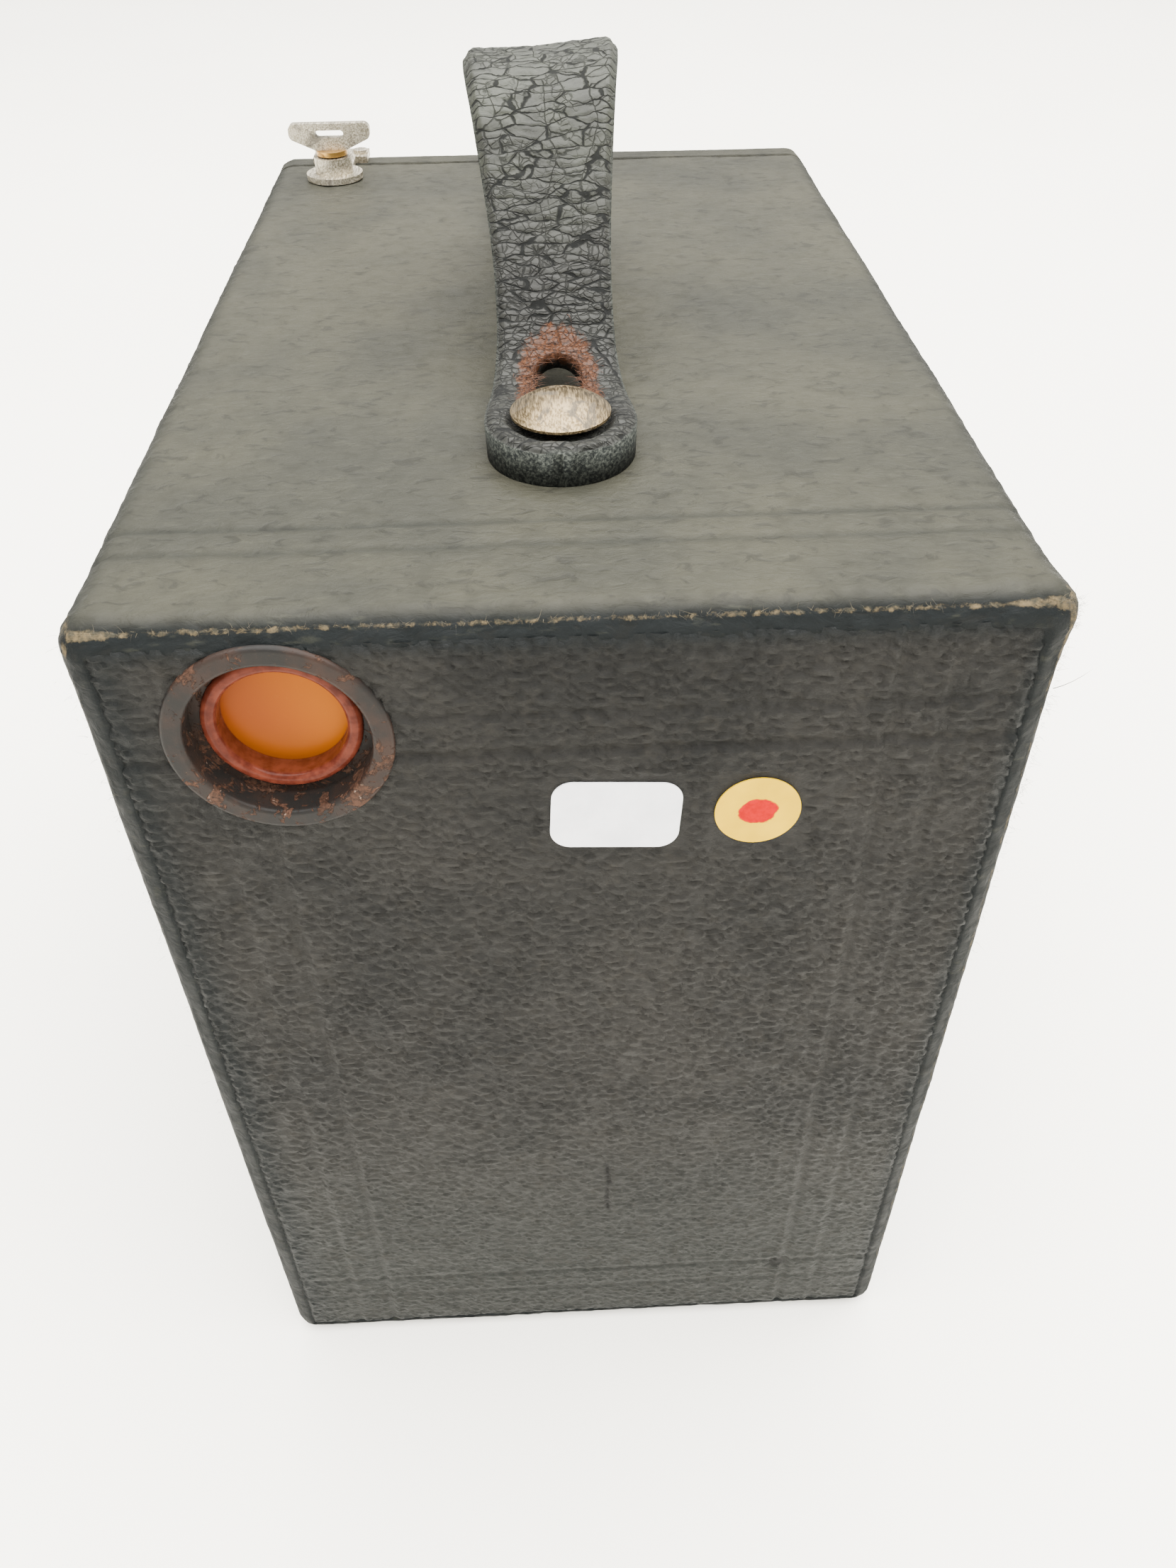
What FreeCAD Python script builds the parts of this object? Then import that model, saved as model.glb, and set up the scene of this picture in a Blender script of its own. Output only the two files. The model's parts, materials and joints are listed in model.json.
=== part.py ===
"""Leather-covered roll-film box camera, in millimetres.

A wooden box, open at the front, holds a front section that pulls straight out forwards with the
shutter, lens, cone, spools and winding key on it.  The origin is the centre of the base on the
surface it stands on, +Z is up, the lens looks along -Y and the coloured window is in the +Y face.
"""
import FreeCAD, Part
import math
import os

V = FreeCAD.Vector
X_AXIS = V(1, 0, 0)
Y_AXIS = V(0, 1, 0)
Z_AXIS = V(0, 0, 1)

# Outside of the camera
BODY_W = 84.0
BODY_D = 134.4
BODY_H = 123.0
LEATHER = 0.6
EDGE_R = 2.6
BACK_Y = BODY_D / 2
FRONT_Y = -BODY_D / 2
SIDE_X = BODY_W / 2

# Wooden case, with its mouth at CASE_MOUTH_Y
SIDE_BOARD = 2.5
FLAT_BOARD = 4.0
BACK_BOARD = 5.0
CASE_MOUTH_Y = -60.2
CORE_X = SIDE_X - LEATHER
CORE_TOP = BODY_H - LEATHER
BACK_BOARD_Y = BACK_Y - LEATHER - BACK_BOARD
BACK_MARGIN = 2.6

# Front section
FRONT_BOARD_BACK_Y = -61.2
FRONT_FLOOR = 0.2
PLATE_T = 2.4
PLATE_X = CORE_X - SIDE_BOARD - 0.3
TOP_PLATE_Z = CORE_TOP - FLAT_BOARD - 0.2 - PLATE_T
BOTTOM_PLATE_Z = LEATHER + FLAT_BOARD + 0.2
PLATE_END_Y = 60.4

# Lens, shutter and stops
LENS_Z = 61.5
LENS_OPENING_R = 12.0
LENS_R = 8.0
METAL_T = 0.5
SLIDE_Y = -60.95
SHUTTER_PLATE_Y = -60.2
DISC_Y = -59.3
DISC_R = 19.0
DISC_PIVOT = (0.0, 47.5)
DISC_APERTURE_R = 4.0
DISC_REST_DEG = 42.0
LEVER_PIVOT = (17.0, 30.0)
LEVER_LENGTH = 20.0
LEVER_REST_DEG = 12.0
PIVOT_R = 1.0
RUNNING = 0.05
LENS_BOARD_Y = -57.0
LENS_BOARD_T = 3.0
LENS_BOARD_X = 23.6
STOP_PITCH = 11.0
STOP_RADII = (3.6, 2.4, 1.6)
STOP_HALF_W = 6.5

# Film path
SPOOL_X = 31.6
SPOOL_Y = -53.4
SPOOL_FLANGE_R = 6.0
SPOOL_CORE_R = 3.2
SPOOL_BORE_R = 1.37
SPOOL_PIN_R = 1.3
SPOOL_BOTTOM = BOTTOM_PLATE_Z + PLATE_T + 0.4
SPOOL_TOP = 112.6
ROLLER_X = 35.4
ROLLER_Y = 57.2
ROLLER_R = 2.6
GATE_Y = 51.0
GATE_T = 5.0
GATE_X = 32.3
GATE_OPENING = (29.0, 50.0)
CONE_FRONT = 14.0
CONE_WALL = 1.0

# Winding key
KEY_BASE_R = 4.2
KEY_PLATE_T = 0.8
KEY_PLATE_Z = BODY_H + 0.15
KEY_BOSS_R = 2.8
KEY_BOSS_H = 2.3
KEY_TUBE_R = 2.1
KEY_NOTCH = 2.4
KEY_BOW_W = 12.0
KEY_BOW_H = 3.6
KEY_BOW_T = 1.4
KEY_TOP = BODY_H + 7.7
KEY_FOOT_Z = 107.0

# Window in the back
WINDOW_X = 25.35
WINDOW_Z = 111.4
RING_R = 9.9
RING_BORE_R = 8.45
RING_FLOOR_DEPTH = 2.9
RING_RISE = 0.55
GLASS_R = 7.0
GLASS_FACE_R = 5.6
GLASS_FACE_DEPTH = 4.5
GLASS_BEAD_RISE = 0.65

# Carrying strap
STRAP_END_Y = 46.0
STRAP_ARCH_Y = 32.0
STRAP_RISE = 24.2
STRAP_SLOPE = 50.0
STRAP_T = 3.6
STRAP_END_HALF_W = 7.3
STRAP_WAIST_HALF_W = 5.9
STRAP_WAIST_Y = 21.0
STRAP_CROWN_HALF_W = 8.25
STUD_Y = 38.8
STUD_HEAD_R = 4.8
STUD_SHANK_R = 1.9
STUD_LIFT = 0.45
STUD_RIM = 0.25
STUD_DOME = 1.75
SLOT_HALF_W = 2.45
SLOT_INNER_Y = 28.0

# Finder
FINDER_Z = 108.0
FINDER_HALF_W = 7.0
FINDER_HOLE_R = 4.5
FINDER_FRONT_Y = -60.1
FINDER_BACK_Y = -46.0
FINDER_BOTTOM = 101.0
FINDER_WALL = 0.8
WINDOW_HALF_X = 5.4
WINDOW_Y = (-58.6, -48.0)

# Fittings
TRIPOD_BORE_R = 2.55
TRIPOD_BUSH_R = 5.0
CATCH_Z = 61.5


def block(x0, x1, y0, y1, z0, z1):
    """A box between two opposite corners."""
    return Part.makeBox(x1 - x0, y1 - y0, z1 - z0, V(x0, y0, z0))


def disc_y(x, z, radius, y0, y1):
    """A cylinder lying along Y."""
    return Part.makeCylinder(radius, y1 - y0, V(x, y0, z), Y_AXIS)


def disc_z(x, y, radius, z0, z1):
    """An upright cylinder."""
    return Part.makeCylinder(radius, z1 - z0, V(x, y, z0), Z_AXIS)


def ring_y(x, z, outer, inner, y0, y1):
    """A flat ring facing along Y."""
    return disc_y(x, z, outer, y0, y1).cut(disc_y(x, z, inner, y0 - 1, y1 + 1))


def ring_z(x, y, outer, inner, z0, z1):
    """A flat ring facing up."""
    return disc_z(x, y, outer, z0, z1).cut(disc_z(x, y, inner, z0 - 1, z1 + 1))


def group(solids):
    """Separate solids kept together in one node."""
    return Part.makeCompound(solids)


def edges_along(shape, axis, test):
    """Straight edges of a shape parallel to axis whose midpoint passes the test."""
    found = []
    for edge in shape.Edges:
        start = edge.Vertexes[0].Point
        end = edge.Vertexes[-1].Point
        run = end - start
        if run.Length > 0.1 and abs(run.normalize().dot(axis)) > 0.999 and test((start + end) * 0.5):
            found.append(edge)
    return found


def rounded_case(x, y1, z0, z1, radius):
    """The closed outside of the case: long upper edges and the back's edges are rounded."""
    shape = block(-x, x, CASE_MOUTH_Y, y1, z0, z1)
    edges = edges_along(shape, Y_AXIS, lambda p: True)
    edges += edges_along(shape, Z_AXIS, lambda p: p.y > 0)
    edges += edges_along(shape, X_AXIS, lambda p: p.y > 0)
    return shape.makeFillet(radius, edges)


def back_window_hole():
    return disc_y(WINDOW_X, WINDOW_Z, RING_BORE_R, BACK_BOARD_Y - 1, BACK_Y + 1)


def key_notch():
    """The open-ended notch in the case top that the key's tube slides out of."""
    top = block(SPOOL_X - KEY_NOTCH, SPOOL_X + KEY_NOTCH, CASE_MOUTH_Y - 1, SPOOL_Y, 110, 130)
    return top.fuse(disc_z(SPOOL_X, SPOOL_Y, KEY_NOTCH, 110, 130))


def finder_well(z0, z1):
    """The upright light path of the finder."""
    return block(-WINDOW_HALF_X, WINDOW_HALF_X, WINDOW_Y[0], WINDOW_Y[1], z0, z1)


def stud_holes():
    rear = disc_z(0, STUD_Y, STUD_SHANK_R, 110, 130)
    return rear.fuse(disc_z(0, -STUD_Y, STUD_SHANK_R, 110, 130))


def tripod_hole():
    return disc_z(0, 0, TRIPOD_BUSH_R, -1, 6)


def case_nodes():
    """The five boards of the case and the leather glued over them."""
    core = rounded_case(CORE_X, BACK_Y - LEATHER, LEATHER, CORE_TOP, EDGE_R - LEATHER)
    skin = rounded_case(SIDE_X, BACK_Y, 0, BODY_H, EDGE_R).cut(core)
    skin = skin.cut(back_window_hole()).cut(stud_holes()).cut(tripod_hole())
    skin = skin.cut(key_notch()).cut(finder_well(110, 130))
    inner_x = CORE_X - SIDE_BOARD
    inner_top = CORE_TOP - FLAT_BOARD
    inner_floor = LEATHER + FLAT_BOARD
    top = block(-CORE_X, CORE_X, CASE_MOUTH_Y, BACK_BOARD_Y, inner_top, CORE_TOP).common(core)
    top = top.cut(key_notch()).cut(finder_well(110, 130)).cut(stud_holes())
    bottom = block(-CORE_X, CORE_X, CASE_MOUTH_Y, BACK_BOARD_Y, LEATHER, inner_floor).common(core)
    back = block(-CORE_X, CORE_X, BACK_BOARD_Y, BACK_Y, LEATHER, CORE_TOP).common(core)
    side = block(inner_x, CORE_X, CASE_MOUTH_Y, BACK_BOARD_Y, inner_floor, inner_top)
    panel_x = SIDE_X - BACK_MARGIN
    panel_space = block(-panel_x, panel_x, BACK_Y - LEATHER, BACK_Y, BACK_MARGIN, BODY_H - BACK_MARGIN)
    floor_space = block(-SIDE_X, SIDE_X, CASE_MOUTH_Y, BACK_Y, 0, LEATHER)
    return {
        "top_board": top,
        "bottom_board": bottom.cut(tripod_hole()),
        "left_board": side.common(core),
        "right_board": side.mirror(V(0, 0, 0), X_AXIS).common(core),
        "back_board": back.cut(back_window_hole()),
        "leather_wrap": skin.cut(panel_space).cut(floor_space),
        "back_leather": skin.common(panel_space),
        "base_leather": skin.common(floor_space),
    }


def window_nodes():
    """The metal ring, the glass with its raised round bead and the baffle behind it."""
    face_y = BACK_Y + RING_RISE
    floor_y = face_y - RING_FLOOR_DEPTH
    bead_y = floor_y + GLASS_BEAD_RISE
    bore = RING_BORE_R - 0.5
    flange = ring_y(WINDOW_X, WINDOW_Z, RING_R, bore, BACK_Y, face_y)
    rim = [e for e in flange.Edges if abs(e.CenterOfMass.y - face_y) < 1e-6]
    flange = flange.makeFillet(RING_RISE * 0.8, rim)
    tube = ring_y(WINDOW_X, WINDOW_Z, RING_BORE_R, bore, BACK_BOARD_Y, BACK_Y)
    floor = ring_y(WINDOW_X, WINDOW_Z, bore, GLASS_R, floor_y - 0.5, floor_y)
    glass = disc_y(WINDOW_X, WINDOW_Z, GLASS_R, BACK_BOARD_Y + 0.6, bead_y)
    glass = glass.cut(disc_y(WINDOW_X, WINDOW_Z, GLASS_FACE_R, face_y - GLASS_FACE_DEPTH, bead_y + 1))
    rim = [e for e in glass.Edges if abs(e.CenterOfMass.y - bead_y) < 1e-6]
    return {
        "window_ring": flange.fuse(tube).fuse(floor),
        "window_glass": glass.makeFillet(0.6, rim),
        "window_baffle": ring_y(WINDOW_X, WINDOW_Z, bore, 5.0, BACK_BOARD_Y, BACK_BOARD_Y + 0.6),
    }


def strap_bend():
    """Radius of the strap's middle line at its four bends, for its slope, rise and reach."""
    slope = math.radians(STRAP_SLOPE)
    sin = math.sin(slope)
    cos = math.cos(slope)
    straight = (STRAP_RISE * sin - STRAP_ARCH_Y * (1 - cos)) / (sin * sin - cos * (1 - cos))
    return (STRAP_ARCH_Y - straight * cos) / (2 * sin)


def strap_band():
    """The arched strip seen from the side: flat ends, two bends up and one over the crown."""
    slope = math.radians(STRAP_SLOPE)
    radius = strap_bend()
    half = STRAP_T / 2
    foot_z = BODY_H + half
    crown_z = foot_z + STRAP_RISE
    x = -20.0

    def on_foot(side, offset, angle):
        r = radius - offset
        return V(x, side * (STRAP_ARCH_Y - r * math.sin(angle)), foot_z + radius - r * math.cos(angle))

    def on_crown(side, offset, angle):
        r = radius + offset
        return V(x, side * r * math.sin(angle), crown_z - radius + r * math.cos(angle))

    edges = []
    for offset in (half, -half):
        crown = Part.Arc(on_crown(-1, offset, slope), on_crown(1, offset, 0), on_crown(1, offset, slope))
        edges.append(crown.toShape())
        for side in (-1, 1):
            foot = Part.Arc(on_foot(side, offset, 0), on_foot(side, offset, slope / 2),
                            on_foot(side, offset, slope))
            edges.append(foot.toShape())
            edges.append(Part.makeLine(on_foot(side, offset, slope), on_crown(side, offset, slope)))
            edges.append(Part.makeLine(on_foot(side, offset, 0),
                                       V(x, side * (STRAP_END_Y + 1), foot_z + offset)))
    for side in (-1, 1):
        end_y = side * (STRAP_END_Y + 1)
        edges.append(Part.makeLine(V(x, end_y, foot_z - half), V(x, end_y, foot_z + half)))
    return Part.Face(Part.Wire(Part.__sortEdges__(edges))).extrude(V(40, 0, 0))


def slot_wire(near, inner, z):
    """The outline of one stud slot, with round ends at the stud and towards the arch."""
    y0, y1 = sorted((near, inner))
    r = SLOT_HALF_W
    right = Part.makeLine(V(r, y0, z), V(r, y1, z))
    back = Part.Arc(V(r, y1, z), V(0, y1 + r, z), V(-r, y1, z)).toShape()
    left = Part.makeLine(V(-r, y1, z), V(-r, y0, z))
    front = Part.Arc(V(-r, y0, z), V(0, y0 - r, z), V(r, y0, z)).toShape()
    return Part.Wire([right, back, left, front])


def strap_outline():
    """The strap from above: round ends, narrow waists, a wide crown and a slot at each end."""
    shoulder_y = STRAP_END_Y - STRAP_END_HALF_W
    right = [(STRAP_END_HALF_W, -shoulder_y), (STRAP_WAIST_HALF_W, -STRAP_WAIST_Y),
             (STRAP_CROWN_HALF_W, 0.0), (STRAP_WAIST_HALF_W, STRAP_WAIST_Y),
             (STRAP_END_HALF_W, shoulder_y)]
    z = BODY_H - 1
    sides = []
    for sign in (1, -1):
        curve = Part.BSplineCurve()
        curve.interpolate([V(sign * x, y, z) for x, y in right], InitialTangent=Y_AXIS,
                          FinalTangent=Y_AXIS)
        sides.append(curve.toShape())
    ends = []
    for sign in (1, -1):
        ends.append(Part.Arc(V(STRAP_END_HALF_W, sign * shoulder_y, z), V(0, sign * STRAP_END_Y, z),
                             V(-STRAP_END_HALF_W, sign * shoulder_y, z)).toShape())
    outer = Part.Wire(Part.__sortEdges__([sides[0], ends[0], sides[1], ends[1]]))
    outline = Part.Face(outer)
    for sign in (1, -1):
        outline = outline.cut(Part.Face(slot_wire(sign * STUD_Y, sign * SLOT_INNER_Y, z)))
    return outline.extrude(V(0, 0, 40))


def strap_nodes():
    """The strap raised for the hand, with a slot at each end round a domed stud."""
    strap = strap_band().common(strap_outline())
    head_z = BODY_H + STRAP_T + STUD_LIFT
    nodes = {}
    for name, sign in (("rear", 1), ("front", -1)):
        near = sign * STUD_Y
        radius = (STUD_HEAD_R ** 2 + STUD_DOME ** 2) / (2 * STUD_DOME)
        dome = Part.makeSphere(radius, V(0, near, head_z + STUD_RIM + STUD_DOME - radius))
        head = disc_z(0, near, STUD_HEAD_R, head_z, head_z + 4).common(dome)
        nodes["strap_stud_" + name] = head.fuse(disc_z(0, near, STUD_SHANK_R, 118.6, head_z))
    nodes["strap"] = strap
    return nodes


def case_fittings():
    """The tripod bush, finder window and the two paper stickers."""
    window_z = CORE_TOP - 1.0
    glass = block(-WINDOW_HALF_X, WINDOW_HALF_X, WINDOW_Y[0], WINDOW_Y[1], window_z, CORE_TOP)
    frame = block(-WINDOW_HALF_X - 1.2, WINDOW_HALF_X + 1.2, WINDOW_Y[0] - 1.0, WINDOW_Y[1] + 1.2,
                  BODY_H, BODY_H + 0.4)
    frame = frame.cut(block(-WINDOW_HALF_X + 0.6, WINDOW_HALF_X - 0.6, WINDOW_Y[0] + 0.6,
                            WINDOW_Y[1] - 0.6, BODY_H - 1, BODY_H + 1))
    label = block(-6, 6, BACK_Y, BACK_Y + 0.15, -4, 4)
    label = label.makeFillet(2.0, edges_along(label, Y_AXIS, lambda p: True))
    label.rotate(V(0, 0, 0), Y_AXIS, -3.0)
    label.translate(V(-3.6, 0, 101.1))
    return {
        "tripod_bush": ring_z(0, 0, TRIPOD_BUSH_R, TRIPOD_BORE_R, 0.2, LEATHER + FLAT_BOARD),
        "finder_window": glass,
        "finder_window_frame": frame,
        "paper_label": label,
        "dot_sticker": disc_y(-16.7, 101.0, 4.0, BACK_Y, BACK_Y + 0.15),
    }


def front_cuts():
    """Everything that passes through the front board and its leather."""
    y0 = FRONT_Y - 1
    y1 = FRONT_BOARD_BACK_Y + 1
    lens = disc_y(0, LENS_Z, LENS_OPENING_R, y0, y1)
    finder = disc_y(0, FINDER_Z, FINDER_HOLE_R, y0, y1)
    x, z = LEVER_PIVOT
    band = ring_y(x, z, LEVER_LENGTH + 1.7, LEVER_LENGTH - 1.7, y0, y1)
    reach = LEVER_REST_DEG + 6
    spread = 40 * math.sin(math.radians(reach))
    up = 40 * math.cos(math.radians(reach))
    wedge = Part.makePolygon([V(x, y0, z), V(x - spread, y0, z + up), V(x + spread, y0, z + up),
                              V(x, y0, z)])
    slot = band.common(Part.Face(wedge).extrude(V(0, y1 - y0, 0)))
    return lens.fuse(finder).fuse(slot)


def front_edges(shape):
    """The edges of the front section that are rounded: all round its face and along its depth."""
    edges = edges_along(shape, Y_AXIS, lambda p: True)
    edges += edges_along(shape, X_AXIS, lambda p: p.y < -65)
    return edges + edges_along(shape, Z_AXIS, lambda p: p.y < -65)


def front_nodes():
    """The front board, its leather and the small trim on it."""
    outer = block(-SIDE_X, SIDE_X, FRONT_Y, FRONT_BOARD_BACK_Y, FRONT_FLOOR, BODY_H)
    outer = outer.makeFillet(EDGE_R, front_edges(outer))
    core = block(-CORE_X, CORE_X, FRONT_Y + LEATHER, FRONT_BOARD_BACK_Y, FRONT_FLOOR + LEATHER, CORE_TOP)
    core = core.makeFillet(EDGE_R - LEATHER, front_edges(core))
    board = core.cut(front_cuts())
    face = FRONT_Y
    return {
        "front_board": board,
        "front_leather": outer.cut(core).cut(front_cuts()),
        "lens_bezel": ring_y(0, LENS_Z, LENS_OPENING_R + 1.8, LENS_OPENING_R - 0.2, face - 0.7, face),
        "finder_bezel": ring_y(0, FINDER_Z, FINDER_HOLE_R + 1.3, FINDER_HOLE_R - 0.2, face - 0.5, face),
    }


def plate_nodes():
    """The two horizontal plates that carry the works, with their bearings."""
    top_z = TOP_PLATE_Z
    plates = {}
    for name, z in (("works_top_plate", top_z), ("works_bottom_plate", BOTTOM_PLATE_Z)):
        plate = block(-PLATE_X, PLATE_X, FRONT_BOARD_BACK_Y, PLATE_END_Y, z, z + PLATE_T)
        for side in (-1, 1):
            plate = plate.cut(disc_z(side * ROLLER_X, ROLLER_Y, PIVOT_R + RUNNING, z - 1, z + 4))
        plates[name] = plate
    top = plates["works_top_plate"]
    top = top.cut(disc_z(SPOOL_X, SPOOL_Y, KEY_TUBE_R, top_z - 1, top_z + 4))
    top = top.cut(finder_well(top_z - 1, top_z + 4))
    for x0, x1 in ((6.2, 10.3), (-10.3, -6.7)):
        top = top.cut(block(x0, x1, FRONT_BOARD_BACK_Y - 1, FINDER_FRONT_Y, top_z - 1, top_z + 4))
    plates["works_top_plate"] = top
    return plates


def shutter_nodes():
    """The fixed shutter plate, lens board and cone."""
    rails = []
    standoffs = []
    for side in (-1, 1):
        x0, x1 = sorted((side * 24.6, side * (PLATE_X - 0.2)))
        rails.append(block(x0, x1, FRONT_BOARD_BACK_Y, FRONT_BOARD_BACK_Y + 1.0, 20, 100))
        x0, x1 = sorted((side * 20.6, side * LENS_BOARD_X))
        standoffs.append(block(x0, x1, SHUTTER_PLATE_Y + 0.6, LENS_BOARD_Y, 40, 83))
    plate = block(-24.6, 24.6, SHUTTER_PLATE_Y, SHUTTER_PLATE_Y + 0.6, 22, 90)
    plate = plate.cut(disc_y(0, LENS_Z, 6.0, -62, -58))
    lens_y = LENS_BOARD_Y + 0.5
    board_end = LENS_BOARD_Y + LENS_BOARD_T
    board = block(-LENS_BOARD_X, LENS_BOARD_X, LENS_BOARD_Y, board_end, LENS_Z - 18, LENS_Z + 18)
    board = board.cut(disc_y(0, LENS_Z, 6.5, LENS_BOARD_Y - 1, board_end + 1))
    board = board.cut(disc_y(0, LENS_Z, LENS_R, lens_y, board_end + 1))
    lens = disc_y(0, LENS_Z, LENS_R, lens_y, board_end - 0.4)
    back_ball = Part.makeSphere(40.0, V(0, board_end - 0.4 - 0.81 + 40.0, LENS_Z))
    front_ball = Part.makeSphere(30.0, V(0, lens_y + 30.0, LENS_Z))
    lens = lens.cut(back_ball).common(front_ball)
    lever_x, lever_z = LEVER_PIVOT
    disc_x, disc_z0 = DISC_PIVOT
    pins = [disc_y(lever_x, lever_z, PIVOT_R, SLIDE_Y - 0.1, SHUTTER_PLATE_Y),
            disc_y(disc_x, disc_z0, PIVOT_R, SHUTTER_PLATE_Y + 0.6, DISC_Y + METAL_T + 0.3)]
    return {
        "slide_rails": group(rails),
        "shutter_plate": plate,
        "shutter_pivots": group(pins),
        "lens_standoffs": group(standoffs),
        "lens_board": board,
        "lens": lens,
        "lens_ring": ring_y(0, LENS_Z, LENS_R + 1.5, LENS_R - 1.2, board_end, board_end + 0.8),
    }


def frame_at(y, x0, x1, z0, z1):
    """A closed rectangle in a plane across Y."""
    return Part.makePolygon([V(x0, y, z0), V(x1, y, z0), V(x1, y, z1), V(x0, y, z1), V(x0, y, z0)])


def cone_nodes():
    """Four card panels that widen from the lens board to the film gate."""
    y0 = LENS_BOARD_Y + LENS_BOARD_T + 0.8
    y1 = GATE_Y
    gate_x, gate_z = GATE_OPENING
    wall = CONE_WALL
    nodes = {}
    for name, side in (("cone_left", 1), ("cone_right", -1)):
        near = sorted((side * CONE_FRONT, side * (CONE_FRONT + wall)))
        far = sorted((side * gate_x, side * (gate_x + wall)))
        nodes[name] = Part.makeLoft([frame_at(y0, *near, LENS_Z - CONE_FRONT, LENS_Z + CONE_FRONT),
                                     frame_at(y1, *far, LENS_Z - gate_z, LENS_Z + gate_z)], True, True)
    for name, side in (("cone_top", 1), ("cone_bottom", -1)):
        near = sorted((LENS_Z + side * CONE_FRONT, LENS_Z + side * (CONE_FRONT + wall)))
        far = sorted((LENS_Z + side * gate_z, LENS_Z + side * (gate_z + wall)))
        near_x = CONE_FRONT + wall
        far_x = gate_x + wall
        nodes[name] = Part.makeLoft([frame_at(y0, -near_x, near_x, *near),
                                     frame_at(y1, -far_x, far_x, *far)], True, True)
    gate = block(-GATE_X, GATE_X, GATE_Y, GATE_Y + GATE_T, BOTTOM_PLATE_Z + PLATE_T, TOP_PLATE_Z)
    nodes["film_gate"] = gate.cut(block(-gate_x, gate_x, GATE_Y - 1, GATE_Y + GATE_T + 1,
                                        LENS_Z - gate_z, LENS_Z + gate_z))
    return nodes


def finder_nodes():
    """A small box behind the front board with a lens, a slanted mirror and an open top."""
    shell = block(-FINDER_HALF_W, FINDER_HALF_W, FINDER_FRONT_Y, FINDER_BACK_Y, FINDER_BOTTOM, TOP_PLATE_Z)
    wall = FINDER_WALL
    inside = block(-FINDER_HALF_W + wall, FINDER_HALF_W - wall, FINDER_FRONT_Y + wall,
                   FINDER_BACK_Y - wall, FINDER_BOTTOM + wall, TOP_PLATE_Z + 1)
    shell = shell.cut(inside).cut(disc_y(0, FINDER_Z, FINDER_HOLE_R, -62, -59))
    y0 = FINDER_FRONT_Y + wall + 0.6
    y1 = FINDER_BACK_Y - wall
    z0 = FINDER_BOTTOM + wall
    z1 = z0 + (y1 - y0)
    x = FINDER_HALF_W - wall
    outline = Part.makePolygon([V(-x, y0, z0), V(-x, y1, z1), V(-x, y1, z1 - 1.2), V(-x, y0 + 1.2, z0),
                                V(-x, y0, z0)])
    lens = disc_y(0, FINDER_Z, FINDER_HOLE_R, FINDER_FRONT_Y, FINDER_FRONT_Y + wall)
    return {
        "finder_box": shell,
        "finder_mirror": Part.Face(outline).extrude(V(2 * x, 0, 0)),
        "finder_lens": lens,
    }


def key_bow():
    """The flat thumb piece: wings that widen upwards, with a slot through the middle."""
    wing = KEY_BOW_W / 2
    half = KEY_BOW_T / 2
    outline = [V(-2.3, -half, 0), V(2.3, -half, 0), V(wing, -half, 1.6), V(wing, -half, KEY_BOW_H),
               V(-wing, -half, KEY_BOW_H), V(-wing, -half, 1.6), V(-2.3, -half, 0)]
    bow = Part.Face(Part.makePolygon(outline)).extrude(V(0, KEY_BOW_T, 0))
    bow = bow.makeFillet(0.9, edges_along(bow, Y_AXIS, lambda p: p.z > 1))
    slot = block(-1.6, 1.6, -half - 1, half + 1, 1.7, 2.7)
    for side in (-1, 1):
        slot = slot.fuse(disc_y(side * 1.6, 2.2, 0.5, -half - 1, half + 1))
    return bow.cut(slot)


def key_nodes():
    """The key's base plate and bush on the works, its drive wheel, shaft and bow."""
    plate_top = KEY_PLATE_Z + KEY_PLATE_T
    foot_y = FRONT_Y + 1.2
    plate = disc_z(SPOOL_X, SPOOL_Y, KEY_BASE_R, KEY_PLATE_Z, plate_top)
    plate = plate.fuse(block(SPOOL_X - 2.4, SPOOL_X + 2.4, foot_y, SPOOL_Y, KEY_PLATE_Z, plate_top))
    foot = block(SPOOL_X - KEY_BASE_R, SPOOL_X + KEY_BASE_R, foot_y, FRONT_BOARD_BACK_Y, BODY_H, plate_top)
    plate = plate.fuse(foot)
    plate = plate.cut(disc_z(SPOOL_X, SPOOL_Y, KEY_TUBE_R, KEY_PLATE_Z - 1, plate_top + 1))
    boss_top = plate_top + KEY_BOSS_H
    bore_r = SPOOL_PIN_R + RUNNING
    bush = disc_z(SPOOL_X, SPOOL_Y, KEY_BOSS_R, plate_top, boss_top)
    bush = bush.fuse(disc_z(SPOOL_X, SPOOL_Y, KEY_TUBE_R, TOP_PLATE_Z, plate_top))
    bush = bush.cut(disc_z(SPOOL_X, SPOOL_Y, bore_r, TOP_PLATE_Z - 1, boss_top + 1))
    screws = []
    for side in (-1, 1):
        screws.append(disc_z(SPOOL_X + side * 3.0, foot_y + 2.4, 1.1, plate_top, plate_top + 0.5))
    teeth = ring_z(SPOOL_X, SPOOL_Y, 4.4, bore_r, SPOOL_TOP + 0.6, TOP_PLATE_Z - 0.4)
    for index in range(12):
        angle = math.radians(30 * index)
        notch = disc_z(SPOOL_X + 4.9 * math.cos(angle), SPOOL_Y + 4.9 * math.sin(angle), 0.8, 110, 118)
        teeth = teeth.cut(notch)
    bow_z = KEY_TOP - KEY_BOW_H
    shaft = disc_z(SPOOL_X, SPOOL_Y, SPOOL_PIN_R, KEY_FOOT_Z, bow_z)
    collar = disc_z(SPOOL_X, SPOOL_Y, 2.3, boss_top + 0.2, bow_z)
    bow = key_bow()
    bow.translate(V(SPOOL_X, SPOOL_Y, bow_z))
    return {
        "key_plate": plate,
        "key_bush": bush,
        "key_plate_screws": group(screws),
        "key_ratchet": teeth,
        "key_shaft": shaft.fuse(collar.cut(disc_z(SPOOL_X, SPOOL_Y, SPOOL_PIN_R, 100, 140))),
        "key_bow": bow,
    }


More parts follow.
